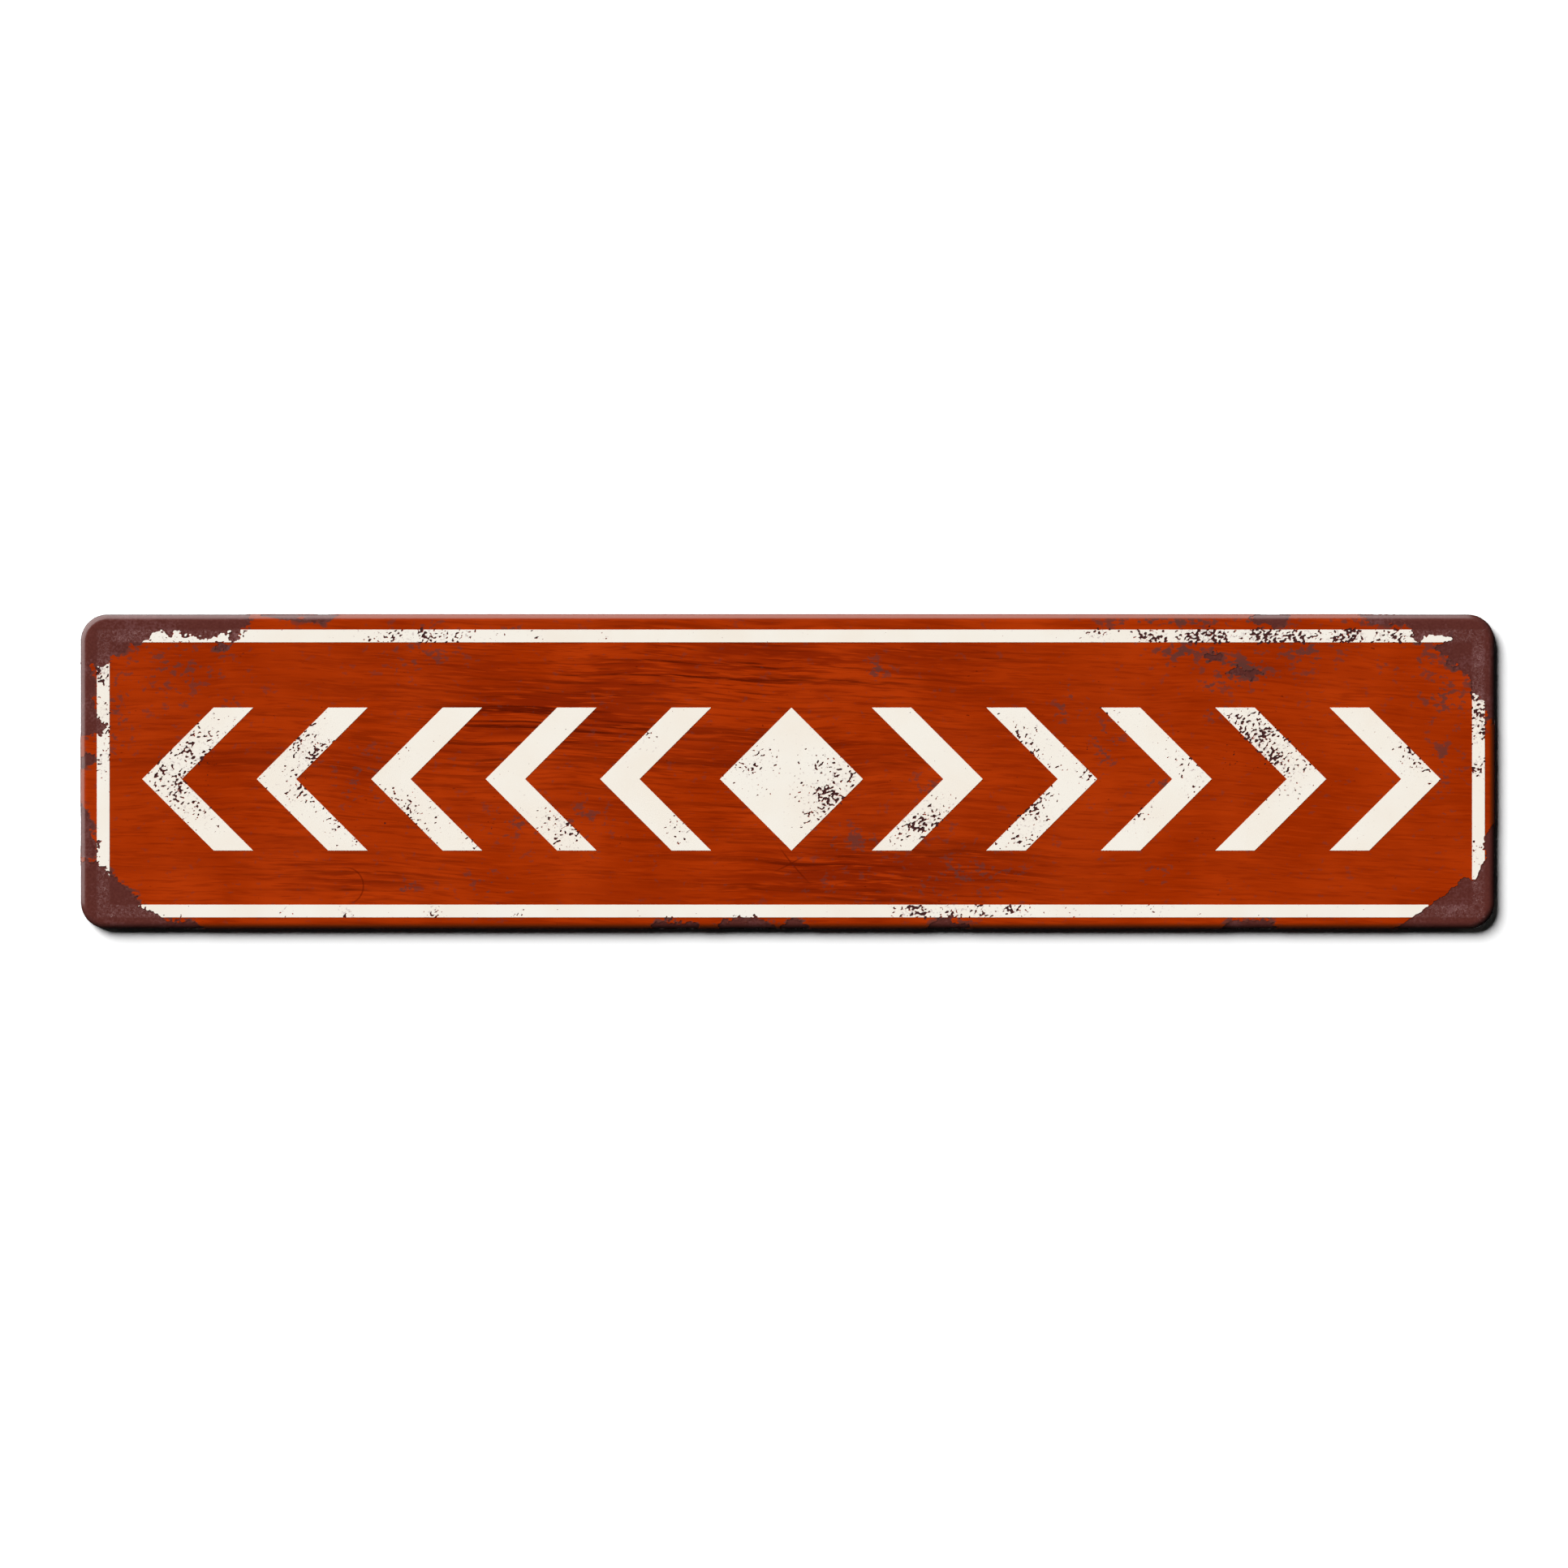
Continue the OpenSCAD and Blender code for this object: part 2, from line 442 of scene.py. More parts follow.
        right_line = [Spot(223, 24, 6, 11, 1.2), Spot(223, 15, 6, 8, 1.2), Spot(223, 3, 6, 9, 0.85),
                      Spot(223, -27, 6, 8, 0.7)]
        return along_row + top_line + left_line + low_line + right_line

    def past_worn_line(self, x: Array, y: Array) -> Array:
        """How far each place is from bare steel: the least over the patches' ragged lines.

        Args:
            x: places along the sign.
            y: places up the sign.

        Returns:
            Distances, negative where the paint is gone.
        """
        ragged = sum(r(x, y) for r in self.ragged)
        plain = np.min([p.beyond(x, y) + p.torn * ragged for p in self.patches()], axis=0)
        return plain + warmth(self.spared(), x, y)

    def past_flake(self, x: Array, y: Array) -> Array:
        """How far each place is from a flaked chip.

        It is flank times the bar less the grain. The bar is bar - bar_drop * felt, where
        felt is the larger of the chipped spots and what flakes beside a worn line.

        Args:
            x: places along the sign.
            y: places up the sign.

        Returns:
            Distances, negative in a chip.
        """
        u, v = x + self.lean * y, y - self.lean * x
        grain = sum(r(u, v) for r in self.grain)
        clumped = np.clip(self.clump_level + self.clumps(x, y), *self.clump_span)
        felt = warmth(self.chipped(), x, y) * clumped
        near = np.square(np.maximum(self.past_worn_line(x, y), 0) / self.beside_reach)
        beside = self.beside_share * np.exp(-near) * (1 - warmth(self.calm(), x, y))
        felt = np.maximum(np.maximum(np.minimum(felt, self.felt_most), beside), self.felt_least)
        return (self.bar - self.bar_drop * felt - grain) * self.flank


@dataclass(frozen=True)
class Field:
    """A worn line as values on a square grid, cut into triangles so that it is exact."""

    x: Array
    y: Array
    value: Array

    @classmethod
    def sampled(cls, half: Array, pitch: float, worn: Rule) -> "Field":
        """Samples a distance over the blank, kept off zero so that no cut is a sliver.

        Args:
            half: half the length and height to cover.
            pitch: distance between samples.
            worn: gives the distance at each x and y.

        Returns:
            The sampled field.
        """
        x, y = (np.arange(-h, h + pitch, pitch) for h in half)
        value = worn(*np.meshgrid(x, y))
        least = 0.1 * pitch
        return cls(x, y, np.where(value < 0, np.minimum(value, -least), np.maximum(value, least)))

    def at(self, p: Array) -> Array:
        """The value at each point, level across each half of a grid square.

        Args:
            p: points as rows of x and y.

        Returns:
            The plane through the three samples round each point.
        """
        step = self.x[1] - self.x[0]
        s, t = (p[:, 0] - self.x[0]) / step, (p[:, 1] - self.y[0]) / step
        i = np.clip(s.astype(int), 0, len(self.x) - 2)
        j = np.clip(t.astype(int), 0, len(self.y) - 2)
        s, t = s - i, t - j
        a, b = self.value[j, i], self.value[j, i + 1]
        c, d = self.value[j + 1, i + 1], self.value[j + 1, i]
        return np.where(s >= t, a + s * (b - a) + t * (c - b), a + t * (d - a) + s * (c - d))

    def line(self) -> Lines:
        """The line where the value is zero, one straight cut through each half square.

        Returns:
            Points and the segments between them.
        """
        wide = len(self.x)
        gx, gy = (g.ravel() for g in np.meshgrid(self.x, self.y))
        v = self.value.ravel()
        j, i = np.meshgrid(np.arange(len(self.y) - 1), np.arange(wide - 1), indexing="ij")
        a = (j * wide + i).ravel()
        halves = np.vstack([np.column_stack([a, a + 1, a + wide + 1]),
                            np.column_stack([a, a + wide + 1, a + wide])])
        signs = v[halves] > 0
        halves = halves[(signs.any(1)) & (~signs.all(1))]
        cuts = []
        for k in range(3):
            ends = np.sort(halves[:, [k, (k + 1) % 3]], axis=1)
            low, high = v[ends[:, 0]], v[ends[:, 1]]
            crossed = (low > 0) != (high > 0)
            share = np.where(crossed, low / np.where(crossed, low - high, 1), 0)
            point = np.column_stack([g[ends[:, 0]] + share * (g[ends[:, 1]] - g[ends[:, 0]])
                                     for g in (gx, gy)])
            cuts.append((crossed, point))
        pairs = []
        for k in range(3):
            (hit, start), (other, end) = cuts[k], cuts[(k + 1) % 3]
            both = hit & other
            pairs.append(np.stack([start[both], end[both]], axis=1))
        found = np.vstack(pairs).reshape(-1, 2)
        points, index = np.unique(np.round(found, 6), axis=0, return_inverse=True)
        segments = index.reshape(-1, 2)
        return points, segments[segments[:, 0] != segments[:, 1]]


def triangulate(parts: Sequence[Lines]) -> Lines:
    """Fills the plane with triangles that keep to every given line.

    Args:
        parts: point sets with their segments.

    Returns:
        Points, and triangles that turn anticlockwise seen from the face.
    """
    counts = np.cumsum([0] + [len(p) for p, _ in parts])
    points = np.vstack([p for p, _ in parts])
    segments = np.vstack([s + c for (_, s), c in zip(parts, counts)])
    made = delaunay_2d_cdt([Vector(p) for p in points.tolist()], segments.tolist(), [], 0, 1e-6)
    p = np.array([tuple(v) for v in made[0]])
    faces = np.array([f for f in made[2] if len(f) == 3])
    a, b, c = (p[faces[:, k]] for k in range(3))
    turn = (b[:, 0] - a[:, 0]) * (c[:, 1] - a[:, 1]) - (b[:, 1] - a[:, 1]) * (c[:, 0] - a[:, 0])
    faces[turn < 0] = faces[turn < 0][:, ::-1]
    return p, faces[np.abs(turn) > 1e-9]


@dataclass(frozen=True)
class BakeSheet:
    """Where a blank lies on its bake map: cut across into tiles, set in rows."""

    half: Array
    low: tuple[float, float]
    high: tuple[float, float]
    columns: int = 2
    rows: int = 2
    gap: float = 0.003
    seam_points: int = 31

    def seams(self) -> Lines:
        """The lines across the blank that the tiles are cut along."""
        count = self.columns * self.rows
        xs = np.linspace(-self.half[0], self.half[0], count + 1)[1:-1]
        ys = np.linspace(-self.half[1], self.half[1], self.seam_points)
        points = np.array([[x, y] for x in xs for y in ys])
        at = np.arange(len(points)).reshape(len(xs), -1)
        return points, np.column_stack([at[:, :-1].ravel(), at[:, 1:].ravel()])

    def lay(self, p: Array, middle: Array) -> Array:
        """Map places of points, each on the tile that holds its face's middle.

        Args:
            p: points on the blank.
            middle: the middle of the face that each point belongs to.

        Returns:
            Rows of u and v.
        """
        count = self.columns * self.rows
        width = 2 * self.half[0] / count
        tile = np.clip(((middle[:, 0] + self.half[0]) / width).astype(int), 0, count - 1)
        s = (p[:, 0] + self.half[0]) / width - tile
        t = (p[:, 1] + self.half[1]) / (2 * self.half[1])
        cell = (np.array(self.high) - self.low) / (self.columns, self.rows)
        inner = self.gap + np.column_stack([s, t]) * (1 - 2 * self.gap / cell) * cell
        corner = np.column_stack([tile % self.columns, tile // self.columns]) * cell
        return np.array(self.low) + corner + inner


class Mark(Enum):
    """What a vertex tells its material, from 0 to 1."""

    STREAK = "streak"
    SMUDGE = "smudge"
    THIN = "thin"
    RUBBED = "rubbed"
    UNDER = "under"


@dataclass
class Skin:
    """A mesh in the making: corners, faces and what each face corner and vertex carries."""

    verts: list[Array] = field(default_factory=list)
    faces: list[Array] = field(default_factory=list)
    uvs: list[Array] = field(default_factory=list)
    smooth: list[Array] = field(default_factory=list)
    slots: list[Array] = field(default_factory=list)
    marks: dict[Mark, list[Array]] = field(default_factory=dict)

    def count(self) -> int:
        """How many vertices there are so far."""
        return sum(len(v) for v in self.verts)

    def take(self, faces: Array, uv: Array, smooth: bool, slot: int = 0) -> None:
        """Adds faces that share one finish.

        Args:
            faces: rows of vertex numbers.
            uv: map places, one for each face corner.
            smooth: whether the faces are shaded as one curve.
            slot: the material's number.
        """
        self.faces.append(faces)
        self.uvs.append(uv)
        self.smooth.append(np.full(len(faces), smooth))
        self.slots.append(np.full(len(faces), slot))

    def mark(self, rules: Mapping[Mark, Rule]) -> None:
        """Marks a layer's two skins alike, by the places that their vertices have from the front.

        Args:
            rules: gives each mark at each x and y.
        """
        seen = self.verts[0][:, :2].T
        for mark, rule in rules.items():
            self.marks[mark] = [rule(*seen)] * 2

    def piece(self, name: str, materials: Sequence[bpy.types.Material]) -> bpy.types.Object:
        """Makes the mesh and its object, in metres.

        Args:
            name: the piece's name.
            materials: the finishes, by slot.

        Returns:
            The new object, in the scene.
        """
        mesh = bpy.data.meshes.new(name)
        verts = np.vstack(self.verts) * METRE
        sizes = np.concatenate([np.full(len(f), f.shape[1]) for f in self.faces])
        corners = np.concatenate([f.ravel() for f in self.faces])
        smooth = np.concatenate(self.smooth)
        mesh.vertices.add(len(verts))
        mesh.vertices.foreach_set("co", verts.astype(np.float32).ravel())
        mesh.loops.add(len(corners))
        mesh.loops.foreach_set("vertex_index", corners.astype(np.int32))
        mesh.polygons.add(len(sizes))
        mesh.polygons.foreach_set("loop_start", (np.cumsum(sizes) - sizes).astype(np.int32))
        mesh.polygons.foreach_set("material_index", np.concatenate(self.slots).astype(np.int32))
        mesh.polygons.foreach_set("use_smooth", smooth)
        chart = mesh.uv_layers.new(name="OFBake")
        chart.data.foreach_set("uv", np.vstack(self.uvs).astype(np.float32).ravel())
        for mark, values in self.marks.items():
            held = mesh.attributes.new(mark.value, "FLOAT", "POINT")
            held.data.foreach_set("value", np.concatenate(values).astype(np.float32))
        for material in materials:
            mesh.materials.append(material)
        mesh.update(calc_edges=True)
        # The renderer only parts a wall's shading from the skin's along edges that are marked sharp
        used = np.zeros(len(corners), np.int32)
        mesh.loops.foreach_get("edge_index", used)
        sharp = np.zeros(len(mesh.edges), bool)
        sharp[used[~np.repeat(smooth, sizes)]] = True
        mesh.edges.foreach_set("use_edge_sharp", sharp)
        mesh.validate()
        made = bpy.data.objects.new(name, mesh)
        bpy.context.scene.collection.objects.link(made)
        LOG.info("%s: %d vertices, %d faces", name, len(verts), len(sizes))
        return made


def layer(form: PressedForm, p: Array, faces: Array, top: float, low: float,
          maps: tuple[BakeSheet, BakeSheet], slots: tuple[int, int] = (0, 0)) -> Skin:
    """Presses triangles of the blank into a closed layer with an upper and a lower skin.

    Args:
        form: the die.
        p: points on the blank.
        faces: the triangles that are left of it.
        top: height of the upper skin over the sheet's outer surface.
        low: height of the lower skin.
        maps: the bake maps of the upper and the lower skin.
        slots: the materials of the upper and the lower skin.

    Returns:
        The layer: both skins, and a wall along every edge that only one triangle has.
    """
    used, flat = np.unique(faces, return_inverse=True)
    p, faces = p[used], flat.reshape(-1, 3)
    n = len(p)
    skin = Skin(verts=[form.press(p, top), form.press(p, low)])
    middle = np.repeat(p[faces].mean(axis=1), 3, axis=0)
    skin.take(faces, maps[0].lay(p[faces].reshape(-1, 2), middle), True, slots[0])
    back = faces[:, ::-1]
    skin.take(back + n, maps[1].lay(p[back].reshape(-1, 2), middle), True, slots[1])
    start, end = (np.concatenate([faces[:, k] for k in order]) for order in ((0, 1, 2), (1, 2, 0)))
    rim = ~np.isin(start * n + end, end * n + start)
    start, end = start[rim], end[rim]
    walls = np.column_stack([start, start + n, end + n, end])
    at = p[np.column_stack([start, start, end, end])].reshape(-1, 2)
    middle = np.repeat((p[start] + p[end]) / 2, 4, axis=0)
    skin.take(walls, maps[0].lay(at, middle), False, slots[0])
    return skin


@dataclass(frozen=True)
class PrintedLine:
    """The border line, as a rectangle within a rectangle, printed off register."""

    half_l: float
    half_h: float
    width: float = 4.1
    shift_x: float = 1.0
    shift_y: float = -0.6

    def past(self, x: Array, y: Array) -> Array:
        """Distance outside the line, negative on it: past the outer or short of the inner rectangle."""
        outer = np.maximum(np.abs(x - self.shift_x) - self.half_l, np.abs(y - self.shift_y) - self.half_h)
        return np.maximum(outer, -outer - self.width)

    def covers(self, x: Array, y: Array) -> Array:
        """Whether a place is on the line."""
        return self.past(x, y) < 0

    def outlines(self) -> list[Lines]:
        """The outer and the inner rectangle."""
        corners = np.array([[-1, -1], [1, -1], [1, 1], [-1, 1]])
        sizes = [np.array([self.half_l, self.half_h]) - inset for inset in (0, self.width)]
        return [closed(corners * s + (self.shift_x, self.shift_y)) for s in sizes]


@dataclass(frozen=True)
class PrintedRow:
    """A diamond and chevrons that point away from it to both ends, printed off register."""

    half: float = 23.1
    arm: float = 9.0
    pitch: float = 37.0
    gap: float = 26.0
    each_side: int = 5
    shift_x: float = 1.2
    shift_y: float = -2.4

    @property
    def arm_x(self) -> float:
        """Width of an arm along the sign."""
        return self.arm * math.sqrt(2)

    @property
    def points_x(self) -> Array:
        """Where the chevrons' points are, out from the diamond's middle."""
        return self.half + self.gap + self.arm_x + self.pitch * np.arange(self.each_side)

    def past(self, x: Array, y: Array) -> Array:
        """Distance outside the nearest figure, negative on it.

        A diamond is |x| + |y| < half. A chevron with its point at p is the band
        p - arm_x < |x| + |y| < p, no higher than half.

        Args:
            x: places along the sign.
            y: places up the sign.

        Returns:
            Distances.
        """
        out, up = np.abs(x - self.shift_x), np.abs(y - self.shift_y)
        slope = out + up
        figures = [(slope - self.half) / math.sqrt(2)]
        for point in self.points_x:
            band = np.maximum(slope - point, point - self.arm_x - slope) / math.sqrt(2)
            figures.append(np.maximum(band, up - self.half))
        return np.min(figures, axis=0)

    def covers(self, x: Array, y: Array) -> Array:
        """Whether a place is on a figure."""
        return self.past(x, y) < 0

    def outlines(self) -> list[Lines]:
        """The diamond's and the chevrons' corners."""
        h, w = self.half, self.arm_x
        shift = (self.shift_x, self.shift_y)
        arrow = np.array([[0, 0], [-h, h], [-h - w, h], [-w, 0], [-h - w, -h], [-h, -h]])
        made = [closed(np.array([[h, 0], [0, h], [-h, 0], [0, -h]]) + shift)]
        for point in self.points_x:
            for side in (1, -1):
                made.append(closed((arrow + (point, 0)) * (side, 1) + shift))
        return made


@dataclass(frozen=True)
class Finish:
    """A material by what it is and how its surface was made.

    Roughness runs from the first to the second value of rough, and the grain's relief
    is its strength and its depth in mm. The face that carries it is at face_z in mm, and
    its polish sets in over polish_span below that.
    """

    name: str
    rough: tuple[float, float] = (0.4, 0.5)
    relief: tuple[float, float] = (0.2, 0.04)
    face_z: float = 5.0
    polish_span: tuple[float, float] = (0.12, 0.01)
    polish_ior: float = 1.8

    def start(self) -> tuple[bpy.types.Material, Tree, Node]:
        """Makes an empty material.

        Returns:
            The material, its nodes, and places on the piece in millimetres.
        """
        material = bpy.data.materials.new(self.name)
        material.use_nodes = True
        tree = material.node_tree
        tree.nodes.clear()
        coords = add(tree, "TexCoord").outputs["Object"]
        return material, tree, add(tree, "VectorMath", {0: coords, 1: (1 / METRE,) * 3}, operation="MULTIPLY")

    def polished(self, tree: Tree, mm: Node, rough: float) -> dict[str, Any]:
        """Coats the surface from where it bends away from the face, as handling has polished it there.

        Args:
            tree: the material's nodes.
            mm: places on the piece in millimetres.
            rough: the coat's roughness.

        Returns:
            The shader's inputs for the coat: none on the face, and full on the bend and below it.
        """
        split = add(tree, "SeparateXYZ", {0: mm})
        low, high = (self.face_z - depth for depth in self.polish_span)
        bent = add(tree, "MapRange", {0: split.outputs[2], 1: low, 2: high, 3: 1.0, 4: 0.0})
        return {"Coat Weight": bent, "Coat Roughness": rough, "Coat IOR": self.polish_ior}

    def close(self, tree: Tree, cloud: Node, grain: Node, inputs: Mapping[str, Any]) -> None:
        """Ends the nodes with roughness, relief, a Principled shader and the output.

        Args:
            tree: the material's nodes.
            cloud: the noise that roughness follows.
            grain: the noise that stands in relief.
            inputs: the shader's other values and links.
        """
        rough = add(tree, "MapRange", {0: cloud, 1: 0.3, 2: 0.7, 3: self.rough[0], 4: self.rough[1]})
        bump = add(tree, "Bump", {"Strength": self.relief[0], "Distance": self.relief[1] * METRE,
                                  "Height": grain})
        shader = add(tree, "BsdfPrincipled", {"Roughness": rough, "Normal": bump, **inputs})
        add(tree, "OutputMaterial", {"Surface": shader})


@dataclass(frozen=True)
class Stroke:
    """A layer of brush strokes: the noise's size in mm, how much of it shows, and how strongly."""

    long: float
    thick: float
    detail: float
    start: float
    full: float
    everywhere: float
    streaked: float
    colour: str


@dataclass(frozen=True)
class Scratch:
    """A fine arc scored into the paint: the part of a circle that is near the arc's middle."""

    x: float
    y: float
    radius: float
    centre_turn: float
    half_run: float

    def middle(self) -> tuple[float, float, float]:
        """The middle of the arc."""
        return self.x, self.y, 0.0

    def centre(self) -> tuple[float, float, float]:
        """The circle's centre, which lies a radius away in the direction of centre_turn."""
        turn = math.radians(self.centre_turn)
        return self.x + self.radius * math.cos(turn), self.y + self.radius * math.sin(turn), 0.0


@dataclass(frozen=True)
class BakedRedPaint(Finish):
    """Stoved alkyd enamel, brushed on and aged: deep orange red, low sheen.

    It gives the eye long darker strokes that follow the sign, a fine level grain, and
    dusky smudges where it has rubbed thin over the primer. On the bends it carries
    painted shade, a darker orange brown, under a polished sheen.
    """

    name: str = "stoved_red_enamel"
    rough: tuple[float, float] = (0.36, 0.44)
    relief: tuple[float, float] = (0.25, 0.04)
    main: str = "9E2C00"
    bright: str = "AF3605"
    deep: str = "842001"
    dark: str = "601300"
    smudge: str = "5E342D"
    # Painted shade: the darker orange brown that the bend's colour is mixed towards.
    bend: str = "883307"
    wander_long: float = 80.0
    wander_high: float = 9.0
    lean: float = 0.045
    layer_step: tuple[float, float] = (7.3, 3.1)
    tone_size: float = 34.0
    speck_size: float = 1.2
    speck_stretch: float = 0.62
    crowd_size: float = 5.0
    scratch_width: float = 0.36
    bend_top: tuple[float, float] = (4.8, 5.1)
    bend_foot: tuple[float, float] = (2.6, 4.0)

    def strokes(self) -> list[Stroke]:
        """The layers of strokes, from broad fields to hair lines and pits.

        The hair lines are drawn about twice as thick as a bristle leaves them, so that they show.
        """
        return [
            Stroke(70, 9, 3, 0.43, 0.62, 0.24, 0.95, self.deep),
            Stroke(95, 2.2, 4, 0.50, 0.64, 0.05, 1.25, self.dark),
            Stroke(26, 1.4, 3, 0.54, 0.70, 0.18, 0.90, self.dark),
            Stroke(12, 0.8, 2, 0.50, 0.66, 0.45, 0.55, self.deep),
            Stroke(14, 0.9, 2, 0.52, 0.68, 0.45, 0.50, self.bright),
            Stroke(2.2, 1.0, 1, 0.74, 0.82, 0.70, 0.20, self.dark),
        ]

    def scratches(self) -> list[Scratch]:
        """One round scratch at the lower left, and two that cross below the middle."""
        return [Scratch(-137.2, -36.1, 6.0, 188, 9.5), Scratch(2.0, -30.5, 90.0, 40, 8.5),
                Scratch(0.5, -30.0, 60.0, 118, 5.5)]

    def brushed(self, tree: Tree,
                mm: Node) -> tuple[Node, Node, Node]:
        """Lays the strokes over a clouded ground.

        A stroke is noise drawn out long and thin. It wanders about 4 mm to a side over
        80 mm and leans a little down to the right.

        Args:
            tree: the material's nodes.
            mm: places on the piece in millimetres.

        Returns:
            The colour, the ground's clouds and the noise of the last layer.
        """
        wander = add(tree, "TexNoise", {"Vector": mm, "Scale": 1 / self.wander_long, "Detail": 2.0})
        bent = add(tree, "VectorMath", {0: wander.outputs["Color"], 1: (0, self.wander_high, 0), 2: mm},
                   operation="MULTIPLY_ADD")
        leaning = add(tree, "Mapping", {"Vector": bent, "Rotation": (0, 0, self.lean)})
        tone = add(tree, "TexNoise", {"Vector": mm, "Scale": 1 / self.tone_size, "Detail": 3.0})
        share = add(tree, "MapRange", {0: tone, 1: 0.38, 2: 0.62})
        colour = add(tree, "Mix", {0: share, 6: linear(self.main), 7: linear(self.bright)},
                     data_type="RGBA")
        streak = add(tree, "Attribute", attribute_name=Mark.STREAK.value).outputs["Fac"]
        for k, stroke in enumerate(self.strokes()):
            size = (1 / stroke.long, 1 / stroke.thick, 1 / stroke.thick)
            apart = (self.layer_step[0] * k, self.layer_step[1] * k, 0)
            drawn = add(tree, "VectorMath", {0: leaning, 1: size, 2: apart}, operation="MULTIPLY_ADD")
            noise = add(tree, "TexNoise", {"Vector": drawn, "Scale": 1.0, "Detail": stroke.detail,
                                           "Roughness": 0.62})
            shown = add(tree, "MapRange", {0: noise, 1: stroke.start, 2: stroke.full},
                        interpolation_type="SMOOTHSTEP")
            felt = add(tree, "Math", {0: streak, 1: stroke.streaked, 2: stroke.everywhere},
                       operation="MULTIPLY_ADD")
            share = add(tree, "Math", {0: shown, 1: felt}, operation="MULTIPLY", use_clamp=True)
            colour = add(tree, "Mix", {0: share, 6: colour, 7: linear(stroke.colour)}, data_type="RGBA")
        return colour, tone, noise

    def scored(self, tree: Tree, mm: Node, colour: Node) -> Node:
        """Draws the scratches as dark lines.

        A line is where the distance to the circle's centre is its radius, and it
        fades out at its ends. It is drawn somewhat wider than a nail leaves it.

        Args:
            tree: the material's nodes.
            mm: places on the piece in millimetres.
            colour: the paint's colour so far.

        Returns:
            The colour with the scratches in it.
        """
        flat = add(tree, "VectorMath", {0: mm, 1: (1, 1, 0)}, operation="MULTIPLY")
        for scratch in self.scratches():
            out = add(tree, "VectorMath", {0: flat, 1: scratch.centre()}, operation="DISTANCE")
            past = add(tree, "Math", {0: out, 1: scratch.radius}, operation="SUBTRACT")
            off = add(tree, "Math", {0: past}, operation="ABSOLUTE")
            line = add(tree, "MapRange", {0: off, 1: 0.0, 2: self.scratch_width, 3: 0.75, 4: 0.0})
            along = add(tree, "VectorMath", {0: flat, 1: scratch.middle()}, operation="DISTANCE")
            run = add(tree, "MapRange", {0: along, 1: 0.5 * scratch.half_run, 2: scratch.half_run,
                                         3: 1.0, 4: 0.0})
            share = add(tree, "Math", {0: line, 1: run}, operation="MULTIPLY")
            colour = add(tree, "Mix", {0: share, 6: colour, 7: linear(self.dark)}, data_type="RGBA")
        return colour

    def smudged(self, tree: Tree, mm: Node, colour: Node) -> Node:
        """Draws the smudges: specks that crowd into blots where the paint's marks are high.

        Args:
            tree: the material's nodes.
            mm: places on the piece in millimetres.
            colour: the paint's colour so far.

        Returns:
            The colour with the smudges in it.
        """
        laid = add(tree, "VectorMath", {0: mm, 1: (self.speck_stretch, 1.0, 1.0)}, operation="MULTIPLY")
        speck = add(tree, "TexNoise", {"Vector": laid, "Scale": 1 / self.speck_size, "Detail": 2.0,
                                       "Roughness": 0.55})
        crowd = add(tree, "TexNoise", {"Vector": mm, "Scale": 1 / self.crowd_size, "Detail": 3.0,
                                       "Roughness": 0.6})
        rubbed, thin = (add(tree, "Attribute", attribute_name=mark.value).outputs["Fac"]
                        for mark in (Mark.SMUDGE, Mark.THIN))
        worn = add(tree, "Math", {0: rubbed, 1: thin}, operation="MAXIMUM")
        crowded = add(tree, "Math", {0: crowd, 1: 1.2, 2: speck}, operation="MULTIPLY_ADD")
        lifted = add(tree, "Math", {0: worn, 1: 0.3, 2: crowded}, operation="MULTIPLY_ADD")
        blotted = add(tree, "MapRange", {0: lifted, 1: 1.28, 2: 1.42}, interpolation_type="SMOOTHSTEP")
        strength = add(tree, "Math", {0: worn, 1: 0.7, 2: 0.3}, operation="MULTIPLY_ADD", use_clamp=True)
        share = add(tree, "Math", {0: blotted, 1: strength}, operation="MULTIPLY")
        return add(tree, "Mix", {0: share, 6: colour, 7: linear(self.smudge)}, data_type="RGBA")

    def painted_bend_shade(self, tree: Tree, mm: Node, colour: Node) -> Node:
        """Paints shade on the bend: from bend_top, just under the face, to bend_foot at mid height.

        Args:
            tree: the material's nodes.
            mm: places on the piece in millimetres.
            colour: the paint's colour so far.

        Returns:
            The colour with painted shade on the bend.
        """
        split = add(tree, "SeparateXYZ", {0: mm})
        (top_low, top_high), (foot_low, foot_high) = self.bend_top, self.bend_foot
        turned = add(tree, "MapRange", {0: split.outputs[2], 1: top_low, 2: top_high, 3: 1.0, 4: 0.0})
        shade_above_foot = add(tree, "MapRange", {0: split.outputs[2], 1: foot_low, 2: foot_high})
        # Painted shade: full down the bend between bend_foot and bend_top, none on the face.
        rubbed = add(tree, "Math", {0: turned, 1: shade_above_foot}, operation="MULTIPLY")
        return add(tree, "Mix", {0: rubbed, 6: colour, 7: linear(self.bend)}, data_type="RGBA")

    def build(self) -> bpy.types.Material:
        """Makes the material.

        Returns:
            The enamel, with its strokes, scratches, smudges, painted shade on the bends and polished bends.
        """
        material, tree, mm = self.start()
        colour, tone, noise = self.brushed(tree, mm)
        for dress in (self.scored, self.smudged, self.painted_bend_shade):
            colour = dress(tree, mm, colour)
        self.close(tree, tone, noise, {"Base Color": colour, "Specular IOR Level": 0.12,
                                       **self.polished(tree, mm, 0.22)})
        return material


